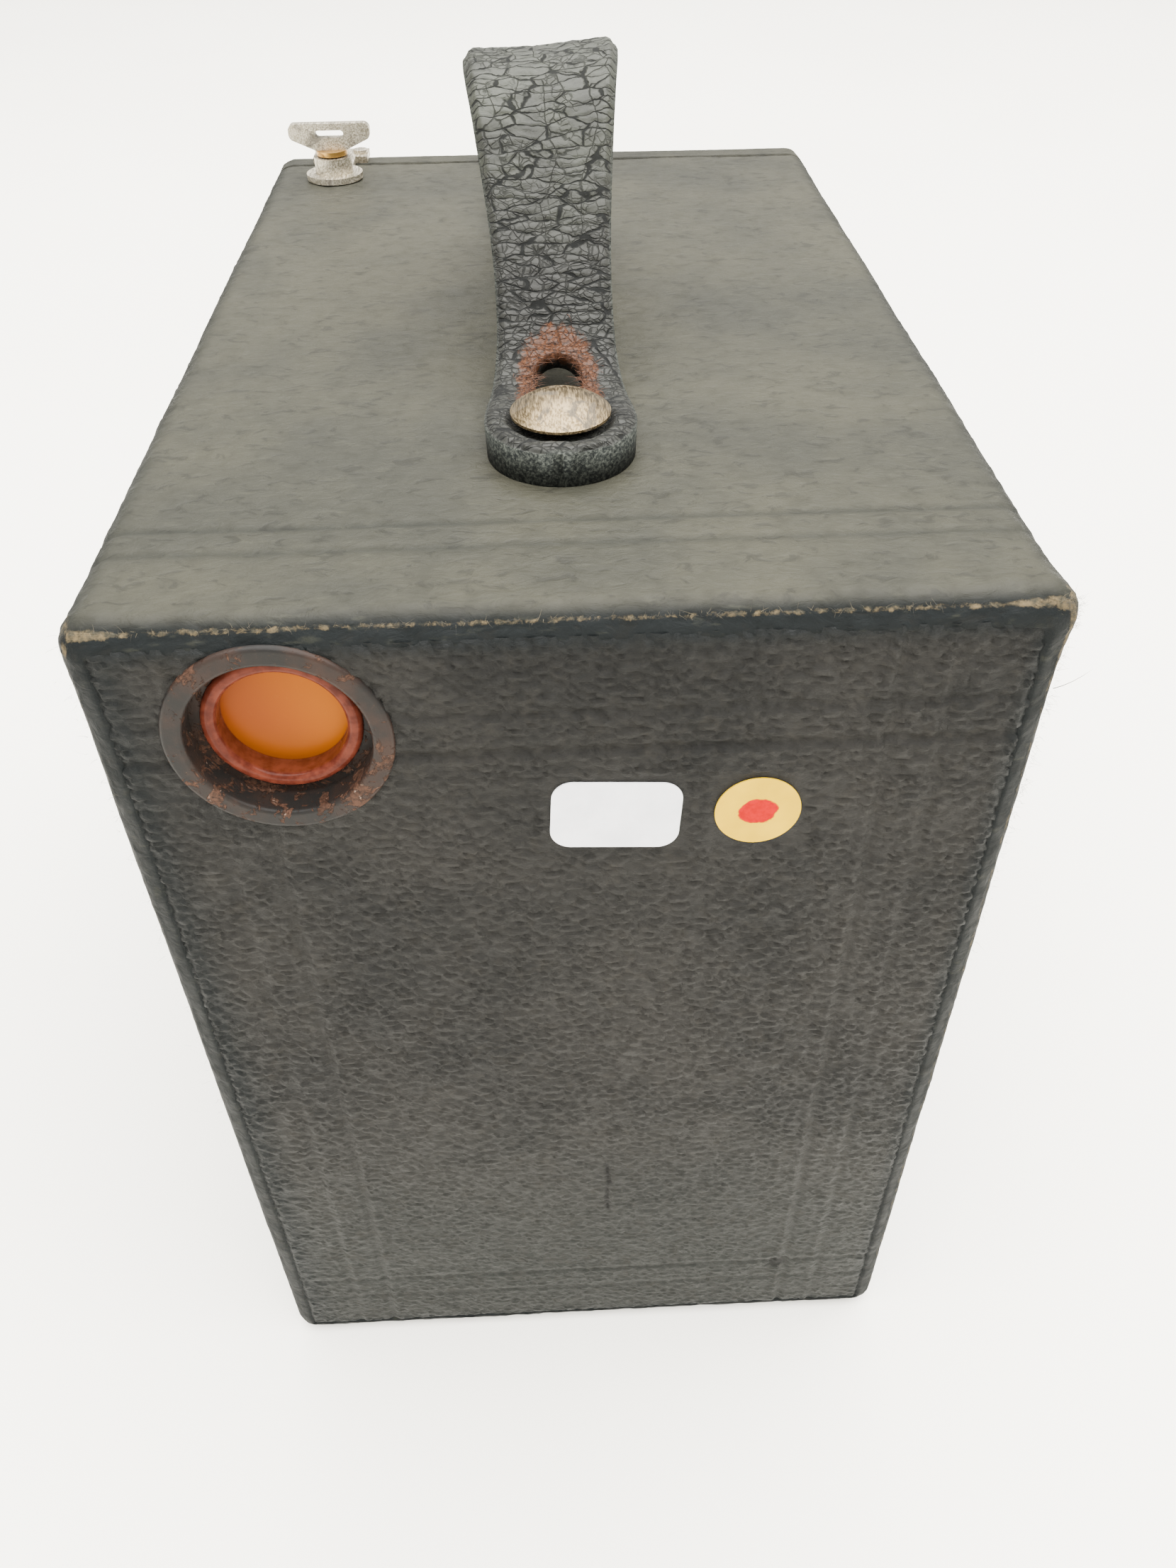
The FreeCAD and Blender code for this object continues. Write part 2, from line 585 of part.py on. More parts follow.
def spool_nodes():
    """Both wooden spools with metal flanges, and the pins that they turn on."""
    nodes = {}
    for name, x in (("take_up", SPOOL_X), ("supply", -SPOOL_X)):
        core = disc_z(x, SPOOL_Y, SPOOL_CORE_R, SPOOL_BOTTOM + 0.8, SPOOL_TOP - 0.8)
        flanges = []
        for z in (SPOOL_BOTTOM, SPOOL_TOP - 0.8):
            flanges.append(ring_z(x, SPOOL_Y, SPOOL_FLANGE_R, SPOOL_BORE_R, z, z + 0.8))
        for z0, z1 in ((SPOOL_BOTTOM - 1, SPOOL_BOTTOM + 7), (SPOOL_TOP - 7, SPOOL_TOP + 1)):
            core = core.cut(disc_z(x, SPOOL_Y, SPOOL_BORE_R, z0, z1))
        slit = block(x - 0.4, x + 0.4, SPOOL_Y - SPOOL_CORE_R - 1, SPOOL_Y - 1.6, 20, 100)
        nodes[name + "_core"] = core.cut(slit)
        nodes[name + "_flanges"] = group(flanges)
    pin_floor = BOTTOM_PLATE_Z + PLATE_T
    pins = [disc_z(SPOOL_X, SPOOL_Y, SPOOL_PIN_R, pin_floor, pin_floor + 5),
            disc_z(-SPOOL_X, SPOOL_Y, SPOOL_PIN_R, pin_floor, pin_floor + 5),
            disc_z(-SPOOL_X, SPOOL_Y, SPOOL_PIN_R, SPOOL_TOP - 5, TOP_PLATE_Z)]
    nodes["spool_pins"] = group(pins)
    for name, x in (("roller_left", ROLLER_X), ("roller_right", -ROLLER_X)):
        roller = disc_z(x, ROLLER_Y, ROLLER_R, BOTTOM_PLATE_Z + PLATE_T + 0.4, TOP_PLATE_Z - 0.4)
        nodes[name] = roller.fuse(disc_z(x, ROLLER_Y, PIVOT_R, BOTTOM_PLATE_Z + 0.4,
                                         TOP_PLATE_Z + PLATE_T - 0.4))
    return nodes


def moving_shutter_nodes():
    """The turning shutter disc, its release lever, the stop slide and the time slide."""
    bore = PIVOT_R + RUNNING
    px, pz = DISC_PIVOT
    turn = math.radians(DISC_REST_DEG)
    reach = LENS_Z - pz
    disc = ring_y(px, pz, DISC_R, bore, DISC_Y, DISC_Y + METAL_T)
    disc = disc.cut(disc_y(px - reach * math.sin(turn), pz + reach * math.cos(turn), DISC_APERTURE_R,
                           DISC_Y - 1, DISC_Y + 1))
    lx, lz = LEVER_PIVOT
    arm = disc_y(lx, lz, 3.2, SLIDE_Y, SLIDE_Y + METAL_T)
    arm = arm.fuse(block(lx - 2.2, lx + 2.2, SLIDE_Y, SLIDE_Y + METAL_T, lz, lz + LEVER_LENGTH))
    arm = arm.fuse(disc_y(lx, lz + LEVER_LENGTH, 2.2, SLIDE_Y, SLIDE_Y + METAL_T))
    arm = arm.cut(disc_y(lx, lz, bore, SLIDE_Y - 1, SLIDE_Y + 1))
    knob = disc_y(lx, lz + LEVER_LENGTH, 1.1, FRONT_Y - 1.0, SLIDE_Y)
    head = disc_y(lx, lz + LEVER_LENGTH, 2.6, FRONT_Y - 3.2, FRONT_Y - 1.0)
    head = head.makeFillet(0.7, [e for e in head.Edges if abs(e.CenterOfMass.y - FRONT_Y + 3.2) < 1e-6])
    lever = arm.fuse(knob).fuse(head)
    lever.rotate(V(lx, 0, lz), Y_AXIS, -LEVER_REST_DEG)
    tab_top = BODY_H + 3.0
    stop = block(-STOP_HALF_W, STOP_HALF_W, SLIDE_Y, SLIDE_Y + METAL_T, 33, 68)
    stop = stop.fuse(block(STOP_HALF_W - 1, 10, SLIDE_Y, SLIDE_Y + METAL_T, 61, 68))
    stem = block(6.5, 10, SLIDE_Y, SLIDE_Y + METAL_T, 61, tab_top)
    stop = stop.fuse(stem)
    for index, radius in enumerate(STOP_RADII):
        stop = stop.cut(disc_y(0, LENS_Z - index * STOP_PITCH, radius, SLIDE_Y - 1, SLIDE_Y + 1))
    return {
        "shutter_disc": disc,
        "release_lever": lever,
        "stop_slide": stop,
        "time_slide": block(-10, -7, SLIDE_Y, SLIDE_Y + METAL_T, 74, tab_top),
    }


def catch_nodes():
    """Two side springs screwed to the front section that grip the sides of the case."""
    springs = []
    screws = []
    for side in (-1, 1):
        strip = block(SIDE_X + 0.3, SIDE_X + 0.8, -66.2, -48.0, CATCH_Z - 4, CATCH_Z + 4)
        strip = strip.makeFillet(3.0, edges_along(strip, X_AXIS, lambda p: p.y > -50))
        strip = strip.fuse(block(SIDE_X, SIDE_X + 0.3, -66.2, -61.6, CATCH_Z - 4, CATCH_Z + 4))
        head = Part.makeCylinder(1.5, 0.6, V(SIDE_X + 0.8, -64.0, CATCH_Z), X_AXIS)
        if side < 0:
            strip = strip.mirror(V(0, 0, 0), X_AXIS)
            head = head.mirror(V(0, 0, 0), X_AXIS)
        springs.append(strip)
        screws.append(head)
    return {"catch_springs": group(springs), "catch_screws": group(screws)}


def all_nodes():
    nodes = {}
    for make in (case_nodes, window_nodes, strap_nodes, case_fittings, front_nodes, plate_nodes,
                 shutter_nodes, cone_nodes, finder_nodes, key_nodes, spool_nodes,
                 moving_shutter_nodes, catch_nodes):
        nodes.update(make())
    return nodes


def main():
    os.makedirs("parts", exist_ok=True)
    nodes = all_nodes()
    for name, shape in sorted(nodes.items()):
        if not shape.isValid() or shape.Volume <= 0:
            raise ValueError(name + " is not a valid solid")
        shape.exportStep(os.path.join("parts", name + ".step"))
    print(len(nodes), "nodes written")


main()
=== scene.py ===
import json
import math
import random

import bpy
import numpy as np
from mathutils import Matrix, Vector, kdtree, noise


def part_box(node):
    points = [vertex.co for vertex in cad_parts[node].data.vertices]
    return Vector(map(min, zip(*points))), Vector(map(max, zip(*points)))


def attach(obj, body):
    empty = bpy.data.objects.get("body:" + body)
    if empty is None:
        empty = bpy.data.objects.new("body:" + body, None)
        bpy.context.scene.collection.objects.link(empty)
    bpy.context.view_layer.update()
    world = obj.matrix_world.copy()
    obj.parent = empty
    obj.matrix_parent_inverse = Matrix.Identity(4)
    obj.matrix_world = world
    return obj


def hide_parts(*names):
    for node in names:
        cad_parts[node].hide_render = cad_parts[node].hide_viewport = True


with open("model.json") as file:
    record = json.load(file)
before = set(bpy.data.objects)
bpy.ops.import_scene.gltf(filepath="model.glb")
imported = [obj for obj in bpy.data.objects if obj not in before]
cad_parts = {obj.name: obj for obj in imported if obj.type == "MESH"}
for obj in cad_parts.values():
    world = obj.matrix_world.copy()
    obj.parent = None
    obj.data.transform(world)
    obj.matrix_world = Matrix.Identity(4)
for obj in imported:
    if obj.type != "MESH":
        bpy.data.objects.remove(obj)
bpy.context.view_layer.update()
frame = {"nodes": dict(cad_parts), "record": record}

# The looks of a leather-covered box camera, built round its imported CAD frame.  Lengths in the
# functions are millimetres in the row frame; MM turns them into Blender's metres.
MM = 0.001
SEED = 11


# ---- places and sizes
def box_mm(node):
    """Lowest and highest corners of a CAD node in millimetres."""
    low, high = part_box(node)
    return np.array(low) / MM, np.array(high) / MM


WRAP_LOW, WRAP_HIGH = box_mm("leather_wrap")
FRONT_LOW, FRONT_HIGH = box_mm("front_leather")
RING_LOW, RING_HIGH = box_mm("window_ring")
STRAP_LOW, STRAP_HIGH = box_mm("strap")
STUD_LOW, STUD_HIGH = box_mm("strap_stud_rear")
BUSH_LOW, BUSH_HIGH = box_mm("tripod_bush")
FINDER_LOW, FINDER_HIGH = box_mm("finder_window")
KEY_LOW, KEY_HIGH = box_mm("key_bush")

SIDE_X = WRAP_HIGH[0]
BACK_Y = WRAP_HIGH[1]
TOP_Z = WRAP_HIGH[2]
MOUTH_Y = WRAP_LOW[1]
EDGE_R = 3.1
LEATHER = 0.6
WINDOW = tuple((RING_LOW + RING_HIGH)[[0, 2]] / 2)
RING_R = (RING_HIGH[0] - RING_LOW[0]) / 2
KEY_X, KEY_Y, _ = (KEY_LOW + KEY_HIGH) / 2


# ---- shader helpers
def srgb(r, g, b):
    """A linear colour from display values between 0 and 255."""
    out = []
    for value in (r, g, b):
        v = value / 255
        out.append(v / 12.92 if v <= 0.04045 else ((v + 0.055) / 1.055) ** 2.4)
    return (*out, 1.0)


class Shader:
    """Short names for the nodes of one procedural material."""

    def __init__(self, name, **sockets):
        self.material = bpy.data.materials.new(name)
        self.material.use_nodes = True
        self.tree = self.material.node_tree
        self.bsdf = self.tree.nodes["Principled BSDF"]
        self.place = self.add("TexCoord").outputs["Object"]
        for key, value in sockets.items():
            self.bsdf.inputs[key.replace("_", " ")].default_value = value

    def add(self, kind, **values):
        node = self.tree.nodes.new("ShaderNode" + kind)
        for key, value in values.items():
            setattr(node, key, value)
        return node

    def link(self, value, socket):
        if isinstance(value, bpy.types.NodeSocket):
            self.tree.links.new(value, socket)
        else:
            socket.default_value = value

    def at(self, kind, source, **values):
        """A node fed with source, or with the place if there is none."""
        node = self.add(kind, **values)
        self.link(source or self.place, node.inputs["Vector"])
        return node

    def stretch(self, x=1.0, y=1.0, z=1.0, source=None):
        node = self.at("Mapping", source)
        node.inputs["Scale"].default_value = (x, y, z)
        return node.outputs["Vector"]

    def noise(self, size, detail=4.0, rough=0.55, warp=0.0, source=None):
        """Noise whose features are about size millimetres across."""
        node = self.at("TexNoise", source)
        node.inputs["Scale"].default_value = 1 / (size * MM)
        node.inputs["Detail"].default_value = detail
        node.inputs["Roughness"].default_value = rough
        node.inputs["Distortion"].default_value = warp
        return node.outputs["Fac"]

    def cells(self, size, feature="F1", source=None):
        node = self.at("TexVoronoi", source, feature=feature)
        node.inputs["Scale"].default_value = 1 / (size * MM)
        return node.outputs["Distance"]

    def value(self, name):
        return self.add("Attribute", attribute_name=name).outputs["Fac"]

    def flat(self, first, second):
        """A flat position made of two attributes in metres."""
        node = self.add("CombineXYZ")
        self.link(self.value(first), node.inputs[0])
        self.link(self.value(second), node.inputs[1])
        return node.outputs[0]

    def warp(self, source, size, amount):
        """Source pushed about by noise of the given size, by up to amount millimetres."""
        node = self.at("TexNoise", source)
        node.inputs["Scale"].default_value = 1 / (size * MM)
        shift = self.math("SUBTRACT", node.outputs["Color"], (0.5, 0.5, 0.5), "VectorMath")
        shift = self.math("MULTIPLY", shift, (2 * amount * MM,) * 3, "VectorMath")
        return self.math("ADD", source, shift, "VectorMath")

    def fit(self, source, low, high, to_low=0.0, to_high=1.0):
        """Source's run from low to high, evenly curved onto to_low to to_high and held outside."""
        node = self.add("MapRange", interpolation_type="SMOOTHSTEP")
        self.link(source, node.inputs["Value"])
        for key, value in (("From Min", low), ("From Max", high), ("To Min", to_low), ("To Max", to_high)):
            node.inputs[key].default_value = value
        return node.outputs["Result"]

    def math(self, operation, a, b=0.0, kind="Math"):
        node = self.add(kind, operation=operation)
        self.link(a, node.inputs[0])
        self.link(b, node.inputs[1])
        return node.outputs[0]

    def times(self, a, b):
        return self.math("MULTIPLY", a, b)

    def plus(self, a, b):
        return self.math("ADD", a, b)

    def minus(self, a, b):
        return self.math("SUBTRACT", a, b)

    def axes(self):
        """The three coordinates of the place."""
        node = self.add("SeparateXYZ")
        self.link(self.place, node.inputs[0])
        return node.outputs

    def from_centre(self, x, z, x_scale=1.0):
        """Distance sideways, upwards and in all from a point of the back, given in millimetres."""
        axes = self.axes()
        dx = self.times(self.minus(axes[0], x * MM), x_scale)
        dz = self.minus(axes[2], z * MM)
        return dx, dz, self.math("SQRT", self.plus(self.times(dx, dx), self.times(dz, dz)))

    def mix(self, amount, a, b):
        node = self.add("Mix", data_type="RGBA")
        self.link(amount, node.inputs["Factor"])
        self.link(a, node.inputs[6])
        self.link(b, node.inputs[7])
        return node.outputs[2]

    def fade(self, source, low, high, a, b, most=1.0):
        """Colour a where source is low, turning to b, or its share most of b, where it is high."""
        return self.mix(self.fit(source, low, high, 0.0, most), a, b)

    def bump(self, height, depth, strength=1.0, normal=None):
        """Relief depth millimetres deep; normal chains another bump under it."""
        node = self.add("Bump")
        self.link(height, node.inputs["Height"])
        node.inputs["Distance"].default_value = depth * MM
        node.inputs["Strength"].default_value = strength
        if normal:
            self.link(normal, node.inputs["Normal"])
        return node.outputs["Normal"]

    def finish(self, color=None, rough=None, normal=None, metal=None):
        for key, value in (("Base Color", color), ("Roughness", rough), ("Normal", normal),
                           ("Metallic", metal)):
            if value is not None:
                self.link(value, self.bsdf.inputs[key])
        return self.material


# ---- materials
def cover_leather():
    """Black leather with rubbed olive grey streaks, painted lighter olive grey on its top faces as light
    falling from above, and tan showing where its edges are worn through.
    """
    s = Shader("cover_leather", Specular_IOR_Level=0.11)
    wear = s.value("wear")
    top = s.value("top")
    blue = s.value("margin")
    broad = s.noise(22.0, 3.0)
    mottle = s.noise(2.2, 5.0, 0.6)
    streak = s.noise(0.8, 4.0, 0.6, source=s.stretch(0.35, 1.0, 1.0))
    # Painted light: where the top values are high the leather gets a lighter olive grey, standing in for
    # light from above.
    lit_top = s.fade(broad, 0.35, 0.68, srgb(40, 40, 34), srgb(50, 49, 40))
    side = s.fade(broad, 0.3, 0.7, srgb(14, 14, 13), srgb(19, 20, 18))
    color = s.mix(top, side, lit_top)
    # Blue-black where the margin values are high: the back-facing border and the top's side edges, and
    # painted shade in the stamped rule grooves on top.
    color = s.mix(s.times(blue, 0.9), color, srgb(8, 12, 13))
    color = s.fade(mottle, 0.45, 0.75, color, srgb(15, 15, 13), 0.18)
    color = s.fade(streak, 0.55, 0.75, color, srgb(66, 66, 55), 0.18)
    patchy = s.noise(1.1, 7.0, 0.75, 0.4)
    wrinkle = s.noise(1.3, 6.0, 0.6, 0.7, s.stretch(0.55, 1.0, 0.8))
    # Painted shade: the creases of the wrinkle relief are darkened.
    color = s.mix(s.fit(wrinkle, 0.46, 0.34, 0.0, 0.4), color, srgb(17, 17, 15))
    rubbed = s.fit(s.plus(wear, s.times(patchy, 1.1)), 1.33, 1.55)
    tan = s.fade(s.noise(0.6, 3.0), 0.3, 0.7, srgb(46, 44, 36), srgb(88, 76, 54))
    color = s.mix(s.times(rubbed, 0.85), color, tan)
    grain = s.cells(1.1, "SMOOTH_F1", s.stretch(0.75, 1.0, 1.0))
    pores = s.noise(0.22, 4.0, 0.65)
    normal = s.bump(grain, 0.12, 0.6)
    normal = s.bump(pores, 0.05, 0.6, normal)
    normal = s.bump(patchy, 0.12, 0.35, normal)
    normal = s.bump(wrinkle, 0.32, 0.9, normal)
    rough = s.fit(s.plus(mottle, s.times(wear, 0.3)), 0.3, 1.0, 0.44, 0.74)
    rough = s.plus(rough, s.times(blue, 0.2))
    return s.finish(color, rough, normal)


def panel_leather():
    """The back panel: black pebble grain whose grooves, crack and dent are darkened as painted shade,
    greener towards the base.
    """
    s = Shader("panel_leather", Specular_IOR_Level=0.09)
    pebble = s.value("pebble")
    low = s.value("low")
    broad = s.noise(16.0, 3.0)
    mottle = s.noise(1.7, 5.0, 0.62)
    color = s.fade(broad, 0.3, 0.7, srgb(20, 20, 19), srgb(31, 30, 28))
    color = s.mix(s.times(low, 0.8), color, srgb(28, 30, 28))
    color = s.fade(mottle, 0.5, 0.78, color, srgb(42, 40, 36), 0.45)
    # Painted shade: near-black in the grooves between pebbles, in the crack and in the dent, from the
    # pebble values.
    color = s.mix(s.fit(pebble, 0.3, 1.0, 0.0, 0.75), color, srgb(4, 4, 4))
    # The values called wear here are painted shade along the panel's sunk border, in the gap under the
    # cover's edge, and a darker band towards the panel's +X side.
    color = s.mix(s.times(s.value("wear"), 0.75), color, srgb(10, 14, 15))
    fine = s.noise(0.35, 5.0, 0.7, 0.3, s.stretch(0.7, 1.0, 1.2))
    pores = s.noise(0.12, 3.0, 0.6)
    scallop = s.noise(0.9, 6.0, 0.65, 1.2, s.stretch(0.75, 1.0, 1.1))
    normal = s.bump(scallop, 0.30, 0.9)
    normal = s.bump(fine, 0.10, 0.7, normal)
    normal = s.bump(pores, 0.03, 0.5, normal)
    rough = s.fit(mottle, 0.2, 0.9, 0.36, 0.6)
    return s.finish(color, rough, normal)


def strap_leather():
    """Smooth grey leather whose surface has cracked into plates."""
    s = Shader("strap_leather", Specular_IOR_Level=0.16)
    edge = s.value("edge")
    suede = s.value("suede")
    low = s.value("low")
    flat = s.warp(s.warp(s.flat("across", "along"), 3.0, 0.6), 0.7, 0.11)
    broad = s.cells(1.15, "DISTANCE_TO_EDGE", s.stretch(0.28, 1.0, 1.0, flat))
    block = s.cells(2.9, "DISTANCE_TO_EDGE", s.stretch(0.9, 0.8, 1.0, flat))
    fine = s.cells(0.72, "DISTANCE_TO_EDGE", s.stretch(0.75, 1.0, 1.0, flat))
    width = s.fit(s.noise(1.8, 3.0), 0.3, 0.7, -0.01, 0.035)
    broken = s.math("MAXIMUM", s.fit(s.noise(3.2, 3.0), 0.46, 0.6), low)
    wide = s.fit(s.minus(broad, width), 0.05, 0.0)
    long_crack = s.fit(s.minus(block, s.times(width, 0.2)), 0.022, 0.0)
    hair = s.times(s.fit(fine, 0.10, 0.02), broken)
    crack = s.math("MAXIMUM", s.math("MAXIMUM", wide, s.times(long_crack, 0.7)),
                   s.times(hair, 0.6))
    face = s.minus(1.0, edge)
    crack = s.times(crack, face)
    plate = s.fade(s.noise(5.0, 4.0), 0.3, 0.7, srgb(37, 38, 34), srgb(52, 54, 47))
    plate = s.mix(s.times(low, 0.8), plate, srgb(30, 30, 28))
    plate = s.fade(s.noise(0.5, 4.0, 0.6), 0.5, 0.8, plate, srgb(24, 25, 23), 0.4)
    color = s.mix(s.times(crack, 0.9), plate, srgb(9, 10, 10))
    fuzz = s.noise(0.3, 5.0, 0.75)
    color = s.mix(edge, color, s.fade(fuzz, 0.4, 0.7, srgb(16, 19, 18), srgb(70, 73, 67)))
    rust = s.fade(fuzz, 0.35, 0.65, srgb(24, 14, 9), srgb(74, 44, 25))
    ragged = s.times(s.noise(1.1, 5.0, 0.7), 1.6)
    color = s.fade(s.plus(suede, ragged), 1.15, 1.55, color, rust)
    dome = s.fit(broad, 0.0, 0.3)
    normal = s.bump(s.minus(s.times(dome, 0.5), crack), 0.16, 0.8)
    normal = s.bump(s.noise(0.45, 5.0, 0.65, 0.5), 0.07, 0.6, normal)
    normal = s.bump(s.noise(0.12, 3.0), 0.03, 0.5, normal)
    rough = s.fit(s.plus(crack, s.times(edge, 0.8)), 0.0, 1.0, 0.46, 0.92)
    return s.finish(color, rough, normal)


def loose_fibres(name, size, low, high, dark, light):
    """Matt fibres whose colour runs from dark to light in patches of the given size."""
    s = Shader(name)
    color = s.fade(s.noise(size, 3.0), low, high, dark, light)
    return s.finish(color, s.fit(s.noise(0.4), 0.2, 0.8, 0.8, 1.0), s.bump(s.noise(0.1), 0.02, 0.4))


def worn_enamel(name="worn_enamel", chipped_below=None):
    """Dark brown enamel on steel, chipped to rust and bare metal, mostly below one height."""
    s = Shader(name, Specular_IOR_Level=0.07)
    flake = s.noise(1.6, 6.0, 0.7, 0.8)
    rim = s.noise(5.0, 4.0, 0.6)
    amount = s.plus(flake, s.times(rim, 0.5))
    if chipped_below is not None:
        below = s.fit(s.axes()[2], (chipped_below + 1) * MM, (chipped_below - 6) * MM)
        amount = s.plus(amount, s.times(below, 0.10))
    bare = s.fit(amount, 0.84, 0.88)
    speck = s.fit(s.noise(0.5, 6.0, 0.75), 0.6, 0.7)
    enamel = s.fade(rim, 0.35, 0.7, srgb(26, 25, 24), srgb(42, 31, 26))
    enamel = s.mix(s.times(speck, 0.5), enamel, srgb(66, 50, 38))
    rust = s.fade(s.noise(0.35, 4.0), 0.3, 0.7, srgb(38, 26, 20), srgb(66, 46, 36))
    rust = s.mix(s.times(speck, 0.8), rust, srgb(150, 130, 116))
    color = s.mix(bare, enamel, rust)
    normal = s.bump(bare, -0.12, 0.8)
    normal = s.bump(s.noise(0.25, 5.0, 0.7), 0.04, 0.6, normal)
    rough = s.fit(bare, 0.0, 1.0, 0.34, 0.66)
    return s.finish(color, rough, normal)


def nickel(name, dark, light):
    """Nickel plate with brush marks, scratches and dark spots."""
    s = Shader(name)
    brush = s.noise(0.9, 4.0, 0.6, source=s.stretch(5.0, 0.45, 5.0))
    spots = s.fit(s.noise(3.0, 5.0, 0.65, 1.0), 0.53, 0.62)
    color = s.fade(brush, 0.35, 0.65, dark, light)
    color = s.mix(s.times(spots, 0.7), color, srgb(66, 62, 56))
    rough = s.fit(s.plus(brush, s.times(spots, 0.5)), 0.25, 1.0, 0.34, 0.62)
    normal = s.bump(brush, 0.05, 0.7)
    metal = s.fit(spots, 0.0, 1.0, 1.0, 0.75)
    return s.finish(color, rough, normal, metal)


def brass():
    s = Shader("brass")
    cloud = s.noise(1.8, 5.0, 0.65, 0.5)
    color = s.fade(cloud, 0.35, 0.7, srgb(186, 146, 78), srgb(112, 82, 44))
    rough = s.fit(cloud, 0.3, 0.75, 0.28, 0.6)
    return s.finish(color, rough, s.bump(s.noise(0.3, 4.0), 0.02, 0.5), 0.95)


def steel():
    s = Shader("steel")
    brush = s.noise(0.6, 4.0, 0.6, source=s.stretch(6.0, 6.0, 0.4))
    rust = s.fit(s.noise(2.4, 5.0, 0.7, 0.6), 0.62, 0.72)
    color = s.fade(brush, 0.3, 0.7, srgb(112, 110, 106), srgb(150, 148, 143))
    color = s.mix(s.times(rust, 0.8), color, srgb(110, 78, 54))
    rough = s.fit(s.plus(brush, rust), 0.3, 1.5, 0.28, 0.7)
    return s.finish(color, rough, s.bump(brush, 0.015, 0.5), s.fit(rust, 0.0, 1.0, 1.0, 0.5))


def black_lacquer():
    s = Shader("black_lacquer", Specular_IOR_Level=0.45)
    scuff = s.noise(1.2, 6.0, 0.7, 0.8)
    color = s.fade(scuff, 0.62, 0.72, srgb(20, 20, 22), srgb(86, 82, 78))
    rough = s.fit(scuff, 0.3, 0.8, 0.5, 0.75)
    return s.finish(color, rough, s.bump(s.noise(0.4, 4.0), 0.02, 0.5))


def wood(name, dark, light, along, rough_low=0.55):
    """Planed wood with long grain along one axis."""
    s = Shader(name, Specular_IOR_Level=0.35)
    scales = {"X": (0.08, 1.0, 1.0), "Y": (1.0, 0.08, 1.0), "Z": (1.0, 1.0, 0.08)}[along]
    rings = s.noise(1.6, 5.0, 0.6, 0.8, s.stretch(*scales))
    fibres = s.noise(0.25, 3.0, 0.6, source=s.stretch(*scales))
    color = s.fade(rings, 0.3, 0.7, dark, light)
    color = s.fade(fibres, 0.5, 0.7, color, dark, 0.4)
    normal = s.bump(fibres, 0.04, 0.6)
    rough = s.fit(rings, 0.3, 0.7, rough_low, rough_low + 0.2)
    return s.finish(color, rough, normal)


def black_card():
    s = Shader("black_card", Specular_IOR_Level=0.2)
    fibre = s.noise(0.5, 6.0, 0.7, 0.4)
    color = s.fade(fibre, 0.35, 0.7, srgb(17, 17, 18), srgb(38, 37, 36))
    return s.finish(color, s.fit(fibre, 0.3, 0.7, 0.8, 0.95), s.bump(fibre, 0.04, 0.6))


def paper(name, color_value, spot=None):
    """Matt sticker paper; spot is (centre x, centre z, radius, colour) for one ink blot."""
    s = Shader(name, Specular_IOR_Level=0.05)
    fibre = s.noise(0.35, 5.0, 0.65, 0.3)
    shade = s.noise(4.0, 3.0)
    dim = tuple(c * 0.86 for c in color_value[:3]) + (1.0,)
    color = s.fade(shade, 0.35, 0.7, dim, color_value)
    if spot:
        x, z, radius, ink = spot
        _, _, reach = s.from_centre(x, z, 0.86)
        wobble = s.times(s.minus(s.noise(1.6, 3.0, 0.6), 0.5), 0.9 * MM)
        inside = s.fit(s.plus(reach, wobble), radius * MM * 1.06, radius * MM * 0.94)
        color = s.mix(inside, color, s.fade(fibre, 0.35, 0.65, ink, tuple(c * 0.8 for c in ink)))
    return s.finish(color, s.fit(fibre, 0.3, 0.7, 0.62, 0.8), s.bump(fibre, 0.015, 0.5))


def amber_glass():
    """Deep amber glass: orange on its sunk face, brown-red on the round bead about it."""
    s = Shader("amber_glass", IOR=1.5, Specular_IOR_Level=0.05, Emission_Strength=0.05)
    # Painted light across the face: lighter and more orange towards -X and upward, browner low down.
    dx, dz, reach = s.from_centre(*WINDOW)
    side = s.fit(s.minus(s.times(dz, 0.3), dx), -4 * MM, 6 * MM)
    face = s.mix(side, srgb(112, 52, 12), srgb(140, 74, 0))
    low = s.fit(s.minus(dz, s.times(dx, 0.3)), -1 * MM, -5.5 * MM)
    face = s.mix(s.times(low, 0.6), face, srgb(112, 58, 4))
    dust = s.fit(s.noise(0.5, 6.0, 0.75, 0.4), 0.62, 0.75, 0.0, 0.3)
    face = s.mix(dust, face, srgb(132, 96, 53))
    rim = s.fade(s.noise(1.0, 4.0), 0.3, 0.7, srgb(62, 26, 18), srgb(88, 42, 30))
    color = s.fade(reach, 5.45 * MM, 5.65 * MM, face, rim)
    normal = s.bump(s.noise(3.0, 2.0), 0.04, 0.3)
    # Painted light: the glass glows faintly in its own colour.
    s.link(color, s.bsdf.inputs["Emission Color"])
    rough = s.fit(reach, 5.4 * MM, 5.7 * MM, 0.34, 0.07)
    return s.finish(color, s.plus(rough, dust), normal)


def clear_glass(name, tint):
    s = Shader(name, IOR=1.5, Transmission_Weight=0.85)
    smear = s.noise(2.5, 4.0, 0.6, 0.5)
    color = s.fade(smear, 0.4, 0.7, tint, tuple(c * 0.9 for c in tint[:3]) + (1.0,))
    return s.finish(color, s.fit(smear, 0.35, 0.75, 0.03, 0.16), s.bump(smear, 0.01, 0.3))


def mirror():
    s = Shader("mirror")
    age = s.fit(s.noise(1.4, 6.0, 0.7, 0.5), 0.6, 0.72)
    color = s.mix(age, srgb(214, 216, 214), srgb(120, 112, 100))
    return s.finish(color, s.fit(age, 0.0, 1.0, 0.05, 0.4), s.bump(age, 0.01, 0.4), 0.96)


